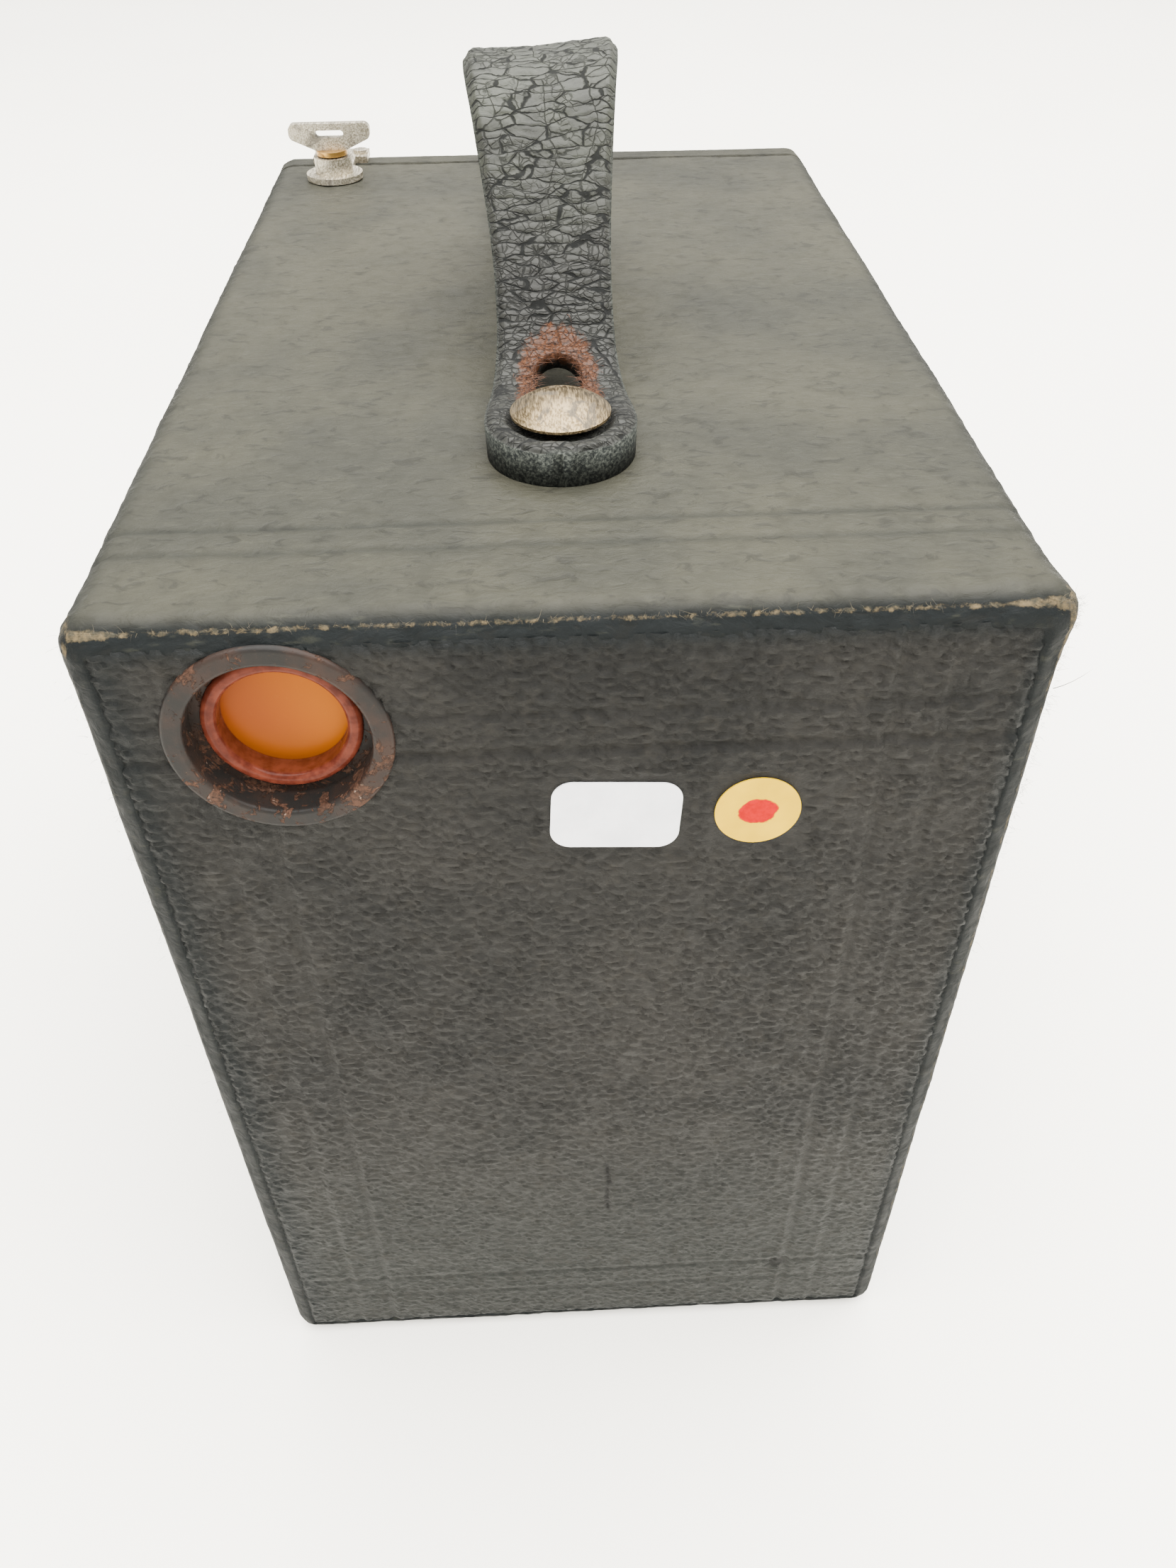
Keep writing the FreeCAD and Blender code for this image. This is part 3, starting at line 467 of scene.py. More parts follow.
def floor_paint():
    s = Shader("floor_paint", Specular_IOR_Level=0.2)
    tone = s.noise(180.0, 2.0)
    color = s.fade(tone, 0.3, 0.7, (0.955, 0.93, 0.85, 1.0), (0.97, 0.945, 0.865, 1.0))
    return s.finish(color, s.fit(tone, 0.3, 0.7, 0.7, 0.8), s.bump(s.noise(2.0, 3.0), 0.02, 0.2))


# ---- mesh helpers
def spaced(low, high, fine, coarse, rim, stops=()):
    """Grid lines from low to high: fine within rim of both ends, coarse between, and on stops."""
    marks = sorted({low, low + rim, high - rim, high, *stops})
    lines = []
    for a, b in zip(marks, marks[1:]):
        step = fine if a < low + rim or b > high - rim else coarse
        count = max(1, int(round((b - a) / step)))
        lines.extend(np.linspace(a, b, count, endpoint=False))
    lines.append(high)
    return np.array(lines)


def new_object(name, points, faces, shade_smooth=True):
    """A mesh object from points in millimetres."""
    mesh = bpy.data.meshes.new(name)
    mesh.from_pydata([tuple(p) for p in np.asarray(points) * MM], [], faces)
    mesh.update()
    mesh.validate()
    obj = bpy.data.objects.new(name, mesh)
    bpy.context.scene.collection.objects.link(obj)
    if shade_smooth:
        mesh.polygons.foreach_set("use_smooth", [True] * len(mesh.polygons))
    return obj


def set_values(obj, name, values):
    """Stores one number for each point, for the materials to read."""
    layer = obj.data.attributes.new(name, "FLOAT", "POINT")
    layer.data.foreach_set("value", np.asarray(values, np.float32))


def paint(obj, material):
    """Makes material the object's only one."""
    obj.data.materials.clear()
    obj.data.materials.append(material)


def noise_field(points, size, octaves=3, seed=0.0):
    """Fractal noise, roughly -1 to 1, at points in millimetres."""
    shift = Vector((seed * 17.3, seed * 5.1, -seed * 9.7))
    out = np.empty(len(points))
    for i, p in enumerate(points):
        out[i] = noise.fractal(Vector(p) / size + shift, 0.6, 2.1, octaves)
    return out


def cell_field(flat, size_u, size_v, jitter, seed):
    """Distance to the nearest cell border, for 2-D points in millimetres."""
    rng = np.random.default_rng(seed)
    scaled = np.column_stack([flat[:, 0] / size_u, flat[:, 1] / size_v])
    low = np.floor(scaled.min(0)).astype(int) - 2
    high = np.ceil(scaled.max(0)).astype(int) + 2
    gu, gv = np.meshgrid(np.arange(low[0], high[0]), np.arange(low[1], high[1]), indexing="ij")
    seeds = np.column_stack([gu.ravel() + 0.5 * (gv.ravel() % 2), gv.ravel()]).astype(float)
    seeds += rng.uniform(-jitter, jitter, seeds.shape)
    tree = kdtree.KDTree(len(seeds))
    for i, (u, v) in enumerate(seeds):
        tree.insert((u, v, 0), i)
    tree.balance()
    border = np.empty(len(scaled))
    for i, (u, v) in enumerate(scaled):
        near, far = tree.find_n((u, v, 0), 2)
        border[i] = (far[2] - near[2]) / 2
    return border


def smooth(value, low, high):
    """0 below low, 1 above high, and an even curve between."""
    t = np.clip((value - low) / (high - low), 0, 1)
    return t * t * (3 - 2 * t)


def groove(distance, half_width):
    """1 on a line, falling to 0 at half_width from it."""
    return smooth(half_width - np.abs(distance), 0, half_width)


def box_shell(xs, ys, zs, skip, radius):
    """A rounded box open at its front, on shared grid lines.  skip(face, u, v) leaves cells out."""
    index = {}
    points = []
    faces = []

    def vertex(i, j, k):
        key = (i, j, k)
        if key not in index:
            index[key] = len(points)
            points.append((xs[i], ys[j], zs[k]))
        return index[key]

    nx, ny, nz = len(xs) - 1, len(ys) - 1, len(zs) - 1
    sheets = (("back", nx, nz, lambda a, b: (a, ny, b), True),
              ("top", nx, ny, lambda a, b: (a, b, nz), False),
              ("base", nx, ny, lambda a, b: (a, b, 0), True),
              ("left", ny, nz, lambda a, b: (nx, a, b), False),
              ("right", ny, nz, lambda a, b: (0, a, b), True))
    for name, na, nb, where, flip in sheets:
        for a in range(na):
            for b in range(nb):
                low = np.array(where(a, b))
                high = np.array(where(a + 1, b + 1))
                middle = [(g[low[n]] + g[high[n]]) / 2 for n, g in enumerate((xs, ys, zs))]
                if skip(name, middle):
                    continue
                quad = [where(a, b), where(a + 1, b), where(a + 1, b + 1), where(a, b + 1)]
                if flip:
                    quad.reverse()
                faces.append([vertex(*q) for q in quad])
    points = np.array(points)
    inner_low = np.array([xs[0] + radius, -1e9, zs[0] + radius])
    inner_high = np.array([xs[-1] - radius, ys[-1] - radius, zs[-1] - radius])
    core = np.clip(points, inner_low, inner_high)
    away = points - core
    length = np.linalg.norm(away, axis=1)
    normals = np.where(length[:, None] > 1e-9, away / np.maximum(length, 1e-9)[:, None], 0)
    return core + normals * radius, normals, faces


def punch(points, faces, centre, radius, plane, level):
    """Cuts a round hole: faces inside go, and their border moves onto the circle."""
    a, b = plane
    flat = np.column_stack([points[:, a] - centre[0], points[:, b] - centre[1]])
    reach = np.linalg.norm(flat, axis=1)
    inside = (reach < radius) & level(points)
    kept = [f for f in faces if not all(inside[i] for i in f)]
    used = {i for f in kept for i in f}
    for i in used:
        if inside[i]:
            scale = radius / max(reach[i], 1e-6)
            points[i, a] = centre[0] + flat[i, 0] * scale
            points[i, b] = centre[1] + flat[i, 1] * scale
    return kept


def drop_unused(points, faces, *more):
    """Leaves out the points that no face uses, here and in the lists that go with them."""
    used = sorted({i for f in faces for i in f})
    place = {old: new for new, old in enumerate(used)}
    return points[used], [[place[i] for i in f] for f in faces], [m[used] for m in more]


def open_edges(faces):
    """The edges that only one face has, pointing the way that it goes round."""
    edges = dict.fromkeys((i, j) for f in faces for i, j in zip(f, f[1:] + f[:1]))
    return [e for e in edges if e[::-1] not in edges]


def turned_edge(points, faces, normals, y_edge, depth):
    """Folds the border at y_edge inwards by depth; grown lengthens a list of values to match."""
    border = [e for e in open_edges(faces) if max(abs(points[n, 1] - y_edge) for n in e) < 1e-6]
    extra = {}
    points = list(map(tuple, points))
    for i, j in border:
        for n in (i, j):
            if n not in extra:
                extra[n] = len(points)
                points.append(tuple(np.array(points[n]) - normals[n] * depth))
        faces.append([j, i, extra[i], extra[j]])

    def grown(values):
        return np.concatenate([values, [values[old] for old in extra]])

    return np.array(points), faces, grown


# ---- leather of the case
PANEL_INSET = 2.6
PANEL_X = SIDE_X - PANEL_INSET
RULE_SIDE = (14.2, 9.5)
RULE_TOP = (13.9, 9.6)
RULE_BASE = (15.0, 10.4)
RULE_ON_TOP = (15.4, 11.2)
KEY_NOTCH_HALF = 2.4
KEY_NOTCH_DEPTH = 2.2
SHELL_FINE = 0.35
SHELL_COARSE = 0.8


def edge_wear(points, back_y):
    """How rubbed the leather is: strongest where three faces meet, then along the back edges."""
    a = np.abs(back_y - points[:, 1])
    b = TOP_Z - points[:, 2]
    c = SIDE_X - np.abs(points[:, 0])
    base = points[:, 2]
    right = np.where(points[:, 0] < 0, 1.0, 0.65)
    a, b, c, base = (side - 0.29 * EDGE_R for side in (a, b, c, base))
    wear = 0
    for amount, one, other, width in ((0.88, a, b, 0.42), (0.85 * right, a, c, 0.5), (0.5, b, c, 2.0),
                                      (0.6, a, base, 1.5), (0.5, base, c, 2.0)):
        wear = np.maximum(wear, amount * np.exp(-(one ** 2 + other ** 2) / width))
    corner = np.exp(-(a ** 2 + b ** 2 + c ** 2) / 12.0)
    return np.clip(wear + 0.45 * corner, 0, 1)


def corner_damage(points):
    """Signed swelling of the leather round the four back corners."""
    shift = np.zeros(len(points))
    for x, z, amount, reach in ((-SIDE_X, TOP_Z, 0.7, 5.0), (SIDE_X, TOP_Z, 0.25, 4.0),
                                (-SIDE_X, 0.0, -0.12, 3.2), (SIDE_X, 0.0, -0.1, 2.4)):
        away = np.linalg.norm(points - np.array([x, BACK_Y, z]), axis=1)
        shift += amount * np.exp(-(away / reach) ** 2)
    return shift


def make_cover(leather):
    """The leather glued over the case's top, sides and base and turned in round its back."""
    fx0, fx1, fy0, fy1 = FINDER_LOW[0], FINDER_HIGH[0], FINDER_LOW[1], FINDER_HIGH[1]
    notch = (KEY_X - KEY_NOTCH_HALF, KEY_X + KEY_NOTCH_HALF, KEY_Y + KEY_NOTCH_DEPTH)
    xs = spaced(-SIDE_X, SIDE_X, SHELL_FINE, SHELL_COARSE, 6.0, (fx0, fx1, notch[0], notch[1]))
    ys = spaced(MOUTH_Y, BACK_Y, SHELL_FINE, SHELL_COARSE, 5.0, (fy0, fy1, notch[2]))
    zs = spaced(0.0, TOP_Z, SHELL_FINE, SHELL_COARSE, 5.0)

    def skip(face, middle):
        x, y, z = middle
        if face == "back":
            return abs(x) < PANEL_X - 0.8 and PANEL_INSET + 0.8 < z < TOP_Z - PANEL_INSET - 0.8
        if face == "top":
            in_well = fx0 < x < fx1 and fy0 < y < fy1
            return in_well or (notch[0] < x < notch[1] and y < notch[2])
        return False

    points, normals, faces = box_shell(xs, ys, zs, skip, EDGE_R)
    bush = (BUSH_HIGH[0] - BUSH_LOW[0]) / 2
    faces = punch(points, faces, (0, 0), bush, (0, 1), lambda p: p[:, 2] < 1)
    points, faces, (normals,) = drop_unused(points, faces, normals)
    wear = edge_wear(points, BACK_Y)
    from_back = BACK_Y - points[:, 1]
    from_side = SIDE_X - np.abs(points[:, 0])
    on_top = smooth(normals[:, 2], 0.35, 0.85)
    on_back = smooth(normals[:, 1], 0.3, 0.8)
    height = 0.09 * noise_field(points, 18.0, 2, 1.0)
    height += 0.10 * wear * noise_field(points, 1.2, 3, 2.0)
    margin = np.maximum(smooth(normals[:, 1], 0.4, 0.9), wear)
    height += (0.04 + 0.05 * margin) * noise_field(points * np.array([0.7, 1, 1]), 1.0, 3, 5.0)
    for inset in RULE_ON_TOP:
        height -= 0.15 * on_top * groove(from_back - inset, 0.9)
    for inset in RULE_SIDE:
        height -= 0.05 * on_top * groove(from_side - inset, 0.9)
    height += corner_damage(points)
    under = smooth(PANEL_X + 0.1 - np.abs(points[:, 0]), 0, 0.3)
    under *= smooth(points[:, 2], PANEL_INSET - 0.1, PANEL_INSET + 0.2)
    under *= smooth(TOP_Z - points[:, 2], PANEL_INSET - 0.1, PANEL_INSET + 0.2)
    height -= 0.35 * on_back * under
    floor = points[:, 2] < 0.05
    height[floor & (from_side > 3)] = 0
    moved = points + normals * height[:, None]
    moved[:, 2] = np.maximum(moved[:, 2], 0.0)
    moved[np.abs(points[:, 1] - MOUTH_Y) < 1e-6, 1] = MOUTH_Y
    moved, faces, grown = turned_edge(moved, faces, normals, MOUTH_Y, LEATHER * 0.9)

    obj = new_object("case_cover", moved, faces)
    set_values(obj, "wear", grown(wear))
    # Painted light: the top values make the top faces lighter, as if lit from above.
    set_values(obj, "top", grown(on_top * smooth(from_back, 0.3, 3.0)))
    # Painted shade in the stamped rule grooves on top, carried in the margin values.
    rule_groove_shade = 0.45 * sum(groove(from_back - inset, 0.9) for inset in RULE_ON_TOP)
    dark = np.maximum(smooth(3.2 - from_side, 0, 3.0), rule_groove_shade) * on_top
    set_values(obj, "margin", grown(np.maximum(on_back, dark)))
    paint(obj, leather)
    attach(obj, "case")
    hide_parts("leather_wrap", "base_leather")


def rule_relief(from_side, from_top, from_base):
    """The blind-stamped double frame: each line is a groove with a low ridge beside it."""
    height = np.zeros(len(from_side))
    for distance, insets in ((from_side, RULE_SIDE), (from_top, RULE_TOP), (from_base, RULE_BASE)):
        for number, inset in enumerate(insets):
            depth = (0.24, 0.16)[number] * (0.6 if distance is from_base else 1.0)
            height -= depth * groove(distance - inset, 0.85)
            height += 0.45 * depth * groove(distance - inset - 1.05, 0.7)
    return height


def make_panel():
    """The pebbled leather panel on the back, with its stamped frame and a hole for the window."""
    low_z = PANEL_INSET
    high_z = TOP_Z - PANEL_INSET + 0.6
    xs = spaced(-PANEL_X, PANEL_X, 0.30, 0.30, 4.0)
    zs = spaced(low_z, high_z, 0.30, 0.30, 4.0)
    gx, gz = np.meshgrid(xs, zs, indexing="ij")
    points = np.column_stack([gx.ravel(), np.full(gx.size, BACK_Y), gz.ravel()])
    rows = len(zs)
    faces = []
    for a in range(len(xs) - 1):
        for b in range(rows - 1):
            i = a * rows + b
            faces.append([i, i + 1, i + rows + 1, i + rows])
    faces = punch(points, faces, WINDOW, RING_R - 0.7, (0, 2), lambda p: p[:, 1] > 0)
    points, faces, _ = drop_unused(points, faces)
    x, z = points[:, 0], points[:, 2]
    rim = np.minimum(np.minimum(PANEL_X - np.abs(x), z - low_z), high_z - z)
    warp = noise_field(points, 4.0, 2, 3.0)
    warp_z = noise_field(points, 5.0, 2, 4.0)
    flat = np.column_stack([x + 1.1 * warp, z + 0.8 * warp_z])
    border = cell_field(flat, 1.8, 0.95, 0.44, SEED)
    fine = cell_field(flat, 0.95, 0.60, 0.42, SEED + 1)
    pebble = smooth(border, 0.0, 0.32)
    coarse = smooth(z, 10, 80)
    folds = 1 - np.abs(noise_field(points * np.array([0.7, 1, 1]), 1.2, 3, 6.0))
    height = (0.11 + 0.16 * coarse) * pebble + 0.07 * smooth(fine, 0, 0.3)
    height += (0.07 + 0.07 * coarse) * (folds ** 2 - 0.5)
    height += 0.05 * noise_field(points, 14.0, 2, 7.0)
    frame_relief = rule_relief(SIDE_X - np.abs(x), TOP_Z - z, z)
    height = height * (1 - 0.6 * np.clip(-frame_relief / 0.3, 0, 1)) + frame_relief
    pressed = np.zeros(len(x))
    for low_corner, high_corner in (box_mm("paper_label"), box_mm("dot_sticker")):
        inside = np.minimum(np.minimum(x - low_corner[0], high_corner[0] - x),
                            np.minimum(z - low_corner[2], high_corner[2] - z))
        pressed = np.maximum(pressed, smooth(inside, -0.9, 0.1))
    height = height * (1 - pressed) + 0.03 * pressed
    crack_x = -3.0 + 0.35 * noise_field(points, 3.0, 2, 8.0)
    crack = groove(x - crack_x, 0.45) * smooth(z, 29.5, 32) * smooth(43.0 - z, 0, 2.5)
    dent = np.exp(-((x + 26.5) ** 2 + (z - 14.4) ** 2) / 1.3)
    height -= 0.28 * crack + 0.4 * dent
    height -= 0.32 * (1 - smooth(rim, 0.0, 0.6))
    points[:, 1] = BACK_Y - 0.06 + height
    obj = new_object("back_panel", points, faces)
    left = smooth(x - PANEL_X + 5.5, 0, 5.0)
    # pebble values: painted shade for the grooves between pebbles, the crack and the dent.
    set_values(obj, "pebble", np.clip(0.55 - 0.55 * np.clip(pebble, 0, 1) + 1.2 * (crack + dent), 0, 1))
    set_values(obj, "low", 1 - smooth(z, 12, 62))
    # wear values here: painted shade along the sunk border, and darker towards the +X side.
    set_values(obj, "wear", np.clip(0.9 * left + smooth(2.2 - rim, 0, 2.2), 0, 1))
    paint(obj, panel_leather())
    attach(obj, "case")
    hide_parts("back_leather")


def make_front_cover(leather):
    """The leather over the front board, with holes for the lens, the finder and the release."""
    low, high = FRONT_LOW, FRONT_HIGH
    mouth = -high[1]
    face = -low[1]
    xs = spaced(low[0], high[0], 0.4, 0.55, 5.0)
    ys = spaced(mouth, face, 0.4, 0.6, 2.0)
    zs = spaced(low[2], high[2], 0.4, 0.55, 5.0)
    points, normals, faces = box_shell(xs, ys, zs, lambda name, middle: False, EDGE_R)
    for low_corner, high_corner in (box_mm("lens_bezel"), box_mm("finder_bezel")):
        centre = (low_corner + high_corner) / 2
        radius = (high_corner[0] - low_corner[0]) / 2 - 1.0
        faces = punch(points, faces, (centre[0], centre[2]), radius, (0, 2), lambda p: p[:, 1] > 66)
    joints = frame["record"]["behaviour"]["joints"]
    release = next(j for j in joints if j["name"] == "release_turn")
    pivot = np.array(release["pos_m"]) / MM
    sweep = math.radians(release["range_deg"][1])
    reach = 20.0
    for step in range(17):
        angle = sweep * (1.07 * step / 16 - 0.535)
        spot = (pivot[0] + reach * math.sin(angle), pivot[2] + reach * math.cos(angle))
        faces = punch(points, faces, spot, 1.7, (0, 2), lambda p: p[:, 1] > 66)
    points, faces, (normals,) = drop_unused(points, faces, normals)
    wear = edge_wear(points, face)
    height = 0.06 * noise_field(points, 16.0, 2, 21.0) + 0.03 * noise_field(points, 1.3, 2, 22.0)
    height += 0.14 * wear * noise_field(points, 1.7, 3, 23.0)
    on_face = smooth(normals[:, 1], 0.6, 0.95)
    height += 0.7 * on_face * rule_relief(SIDE_X - np.abs(points[:, 0]), TOP_Z - points[:, 2], points[:, 2])
    moved = points + normals * height[:, None]
    moved[:, 2] = np.maximum(moved[:, 2], 0.05)
    moved[np.abs(points[:, 1] - mouth) < 1e-6, 1] = mouth
    moved, faces, grown = turned_edge(moved, faces, normals, mouth, LEATHER * 0.9)
    moved[:, 1] *= -1
    faces = [f[::-1] for f in faces]

    obj = new_object("front_cover", moved, faces)
    set_values(obj, "wear", grown(wear))
    # Painted light: the top values make the top faces lighter, as if lit from above.
    set_values(obj, "top", grown(0.8 * smooth(normals[:, 2], 0.35, 0.85)))
    set_values(obj, "margin", grown(0.25 * on_face))
    paint(obj, leather)
    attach(obj, "works")
    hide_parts("front_leather")


# ---- strap
STRAP_SLOPE = math.radians(50)
STRAP_ARCH_Y = 32.0
STRAP_T = 3.6
STRAP_END_Y = STRAP_HIGH[1]
STRAP_END_HALF_W = 7.3
STRAP_WAIST_HALF_W = 6.0
STRAP_WAIST_Y = 21.0
STRAP_CROWN_HALF_W = 8.25
STUD_Y = (STUD_LOW[1] + STUD_HIGH[1]) / 2
SLOT_HALF_W = 2.45
SLOT_INNER_Y = 28.0


def strap_point(s):
    """Middle line of the strap at s millimetres from its crown: y, z and slope angle."""
    rise = STRAP_HIGH[2] - TOP_Z - STRAP_T
    sin, cos = math.sin(STRAP_SLOPE), math.cos(STRAP_SLOPE)
    straight = (rise * sin - STRAP_ARCH_Y * (1 - cos)) / (sin * sin - cos * (1 - cos))
    radius = (STRAP_ARCH_Y - straight * cos) / (2 * sin)
    bend = radius * STRAP_SLOPE
    foot_z = TOP_Z + STRAP_T / 2
    crown_z = foot_z + rise
    side = 1 if s >= 0 else -1
    t = abs(s)
    if t < bend:
        angle = t / radius
        y, z = radius * math.sin(angle), crown_z - radius * (1 - math.cos(angle))
    elif t < bend + straight:
        angle = STRAP_SLOPE
        y = radius * sin + (t - bend) * cos
        z = crown_z - radius * (1 - cos) - (t - bend) * sin
    elif t < 2 * bend + straight:
        angle = STRAP_SLOPE - (t - bend - straight) / radius
        y = STRAP_ARCH_Y - radius * math.sin(angle)
        z = foot_z + radius * (1 - math.cos(angle))
    else:
        angle = 0.0
        y, z = STRAP_ARCH_Y + t - 2 * bend - straight, foot_z
    return side * y, z, side * angle


def strap_half_width(y):
    """Half the strap's width, from the crown through the waist to the round end."""
    y = abs(y)
    shoulder = STRAP_END_Y - STRAP_END_HALF_W
    if y > shoulder:
        return math.sqrt(max(STRAP_END_HALF_W ** 2 - (y - shoulder) ** 2, 0.0004))
    if y > STRAP_WAIST_Y:
        share = smooth(y, STRAP_WAIST_Y, shoulder)
        return STRAP_WAIST_HALF_W + (STRAP_END_HALF_W - STRAP_WAIST_HALF_W) * share
    share = smooth(y, 0, STRAP_WAIST_Y)
    return STRAP_CROWN_HALF_W + (STRAP_WAIST_HALF_W - STRAP_CROWN_HALF_W) * share


def slot_half_width(y):
    """Half the width of the stud slot at y, or None away from it."""
    y = abs(y)
    if SLOT_INNER_Y <= y <= STUD_Y:
        return SLOT_HALF_W
    past = SLOT_INNER_Y - y if y < SLOT_INNER_Y else y - STUD_Y
    if past < SLOT_HALF_W:
        return math.sqrt(SLOT_HALF_W ** 2 - past ** 2)
    return None


def strap_rows():
    """Distances along the strap, closer together towards the round ends."""
    end = STRAP_END_Y
    length = 0.0
    while strap_point(length)[0] < end - 1e-3:
        length += 0.01
    body = np.arange(-length + 2.0, length - 2.0, 0.20)
    tip = length - 2.0 * np.cos(np.linspace(0, math.pi / 2, 14)) ** 2
    return np.concatenate([-tip[::-1], body[1:], tip])


def strap_sheet():
    """The flat strap's rows, its points across, where the slot is cut, and the slot's half count."""
    rows = strap_rows()
    inner, outer = 14, 22
    grid = []
    cut = []
    for s in rows:
        y, _, _ = strap_point(s)
        w = strap_half_width(y)
        slot = slot_half_width(y)
        h = slot if slot else SLOT_HALF_W * 0.55
        h = min(h, w * 0.5)
        half = np.concatenate([np.linspace(0, h, inner, endpoint=False), np.linspace(h, w, outer)])
        grid.append(np.concatenate([-half[:0:-1], half]))
        cut.append(slot is not None)
    return rows, np.array(grid), np.array(cut), inner


def strap_relief(rows, grid):
    """Height of the wrinkled plates over the top of the strap."""
    along = np.repeat(rows, grid.shape[1])
    across = grid.ravel()
    flat3 = np.column_stack([across, along, np.zeros(len(along))])
    warp = noise_field(flat3, 2.6, 3, 31.0)
    flat = np.column_stack([across + 0.9 * warp, along + 0.4 * warp])
    border = cell_field(flat, 4.0, 1.5, 0.46, SEED + 3)
    wrinkle = noise_field(flat3, 1.1, 3, 33.0)
    return smooth(border, 0.0, 0.3) + 0.5 * wrinkle, along, across


def make_strap():
    """The raised carrying strap, with cracked plates on top and a slot round each stud."""
    rows, grid, cut, inner = strap_sheet()
    relief, along, across = strap_relief(rows, grid)
    columns = grid.shape[1]
    middle = columns // 2
    top = []
    under = []
    edge = []
    suede = []
    for r, s in enumerate(rows):
        y, z, angle = strap_point(s)
        w = strap_half_width(y)
        crown = 1 - smooth(abs(y), 4, 24)
        pad = smooth(abs(y), 30, 40)
        to_slot = max(0.0, max(SLOT_INNER_Y - abs(y), abs(y) - STUD_Y))
        for c in range(columns):
            x = grid[r, c]
            k = r * columns + c
            share = x / max(w, 0.3)
            lift = crown * (0.35 * share * share - 0.15 - 0.5 * share)
            rim = smooth(w - abs(x), 0, 0.9)
            tip = smooth(STRAP_END_Y - abs(y), 0, 0.6)
            up = (1.05 + 0.85 * pad) - (0.45 + 0.6 * crown) * (1 - min(rim, tip)) + 0.12 * relief[k]
            near_slot = math.hypot(x, 0.8 * to_slot) - SLOT_HALF_W
            seat = math.hypot(x, abs(y) - STUD_Y)
            up -= 0.75 * pad * (1 - smooth(seat, 4.4, 5.6))
            down = 1.25 + 0.5 * pad
            ny, nz = math.sin(angle), math.cos(angle)
            lean = x + 0.5 * crown
            top.append((lean, y + ny * up, z + nz * up + lift))
            under.append((lean - 0.015 * x, y - ny * down, max(z - nz * down + lift, TOP_Z + 0.05)))
            edge.append(1 - min(smooth(w - abs(x), 0.0, 0.25), smooth(STRAP_END_Y - abs(y), 0.0, 0.5)))
            arch_side = 0.3 + 0.7 * smooth(STUD_Y - abs(y), -1.0, 2.5)
            suede.append((1 - smooth(near_slot, 0.5, 2.8)) * arch_side * smooth(abs(y), 18, 22))
    points = np.array(top + under)
    total = len(top)
    faces = []
    for r in range(len(rows) - 1):
        in_slot = cut[r] and cut[r + 1]
        for c in range(columns - 1):
            if not (in_slot and middle - inner <= c < middle + inner):
                i = r * columns + c
                faces.append([i, i + 1, i + columns + 1, i + columns])
                j = total + i
                faces.append([j, j + columns, j + columns + 1, j + 1])
    for i, j in open_edges(faces[::2]):
        faces.append([j, i, total + i, total + j])
    low = smooth(np.abs(along), 8, 28)
    values = [np.concatenate([v, w]) for v, w in (
        (across * MM, across * MM), (along * MM, along * MM), (low, low), (np.array(edge), np.ones(total)),
        (np.array(suede), 0.25 * np.array(suede)))]
    points, faces, values = drop_unused(points, faces, *values)
    obj = new_object("carrying_strap", points, faces)
    for name, value in zip(("across", "along", "low", "edge", "suede"), values):
        set_values(obj, name, value)
    paint(obj, strap_leather())
    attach(obj, "case")
    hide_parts("strap")


# ---- fibres
def strand(points, faces, start, direction, bend, length, radius):
    """Adds one tapering three-sided fibre that curves towards bend."""
    direction = direction / np.linalg.norm(direction)
    side = np.cross(direction, bend)
    side = side / max(np.linalg.norm(side), 1e-6)
    other = np.cross(direction, side)
    steps = 4
    first = len(points)
    for step in range(steps):
        t = step / steps
        middle = start + direction * length * t + bend * length * t * t
        for k in range(3):
            turn = 2 * math.pi * k / 3
            r = radius * (1 - 0.7 * t)
            points.append(middle + (side * math.cos(turn) + other * math.sin(turn)) * r)
    points.append(start + direction * length + bend * length)
    tip = len(points) - 1
    for step in range(steps - 1):
        a = first + 3 * step
        for k in range(3):
            n = (k + 1) % 3
            faces.append([a + k, a + n, a + 3 + n, a + 3 + k])
    a = first + 3 * (steps - 1)
    for k in range(3):
        faces.append([a + k, a + (k + 1) % 3, tip])
    faces.append([first + 2, first + 1, first])


def make_suede_fibres():
    """Rust-brown fibres standing out of the worn slot edges."""
    rng = random.Random(SEED)
    points, faces = [], []
    for side in (1, -1):
        for _ in range(1150):
            along = rng.uniform(SLOT_INNER_Y - SLOT_HALF_W, STUD_Y - 1.0)
            h = slot_half_width(along)
            if h is None:
                continue
            out = rng.choice((-1, 1))
            spread = abs(rng.gauss(0, 0.8))
            if along < SLOT_INNER_Y and rng.random() < 0.6:
                turn = rng.uniform(-1.3, 1.3)
                x = (SLOT_HALF_W + spread) * math.sin(turn)
                along = SLOT_INNER_Y - (SLOT_HALF_W + 1.6 * spread) * math.cos(turn)
            else:
                x = out * (h + spread)
            s = 0.0
            while abs(strap_point(s)[0]) < along:
                s += 0.05
            y, z, angle = strap_point(s * side)
            up = np.array([0.0, math.sin(angle), math.cos(angle)])
            root = np.array([x, y, z]) + up * rng.uniform(0.5, 1.15)
            lean = np.array([rng.gauss(0, 0.8) - 0.5 * out, rng.gauss(0, 0.8), rng.uniform(0.1, 0.8)])
            bend = np.array([rng.gauss(0, 0.4), rng.gauss(0, 0.4), -rng.uniform(0.1, 0.5)])
            strand(points, faces, root, lean, bend, rng.uniform(0.6, 1.6), rng.uniform(0.022, 0.045))
    obj = new_object("slot_fibres", points, faces, shade_smooth=False)
    paint(obj, loose_fibres("suede_fibres", 0.8, 0.35, 0.65, srgb(30, 16, 9), srgb(78, 45, 23)))
    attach(obj, "case")


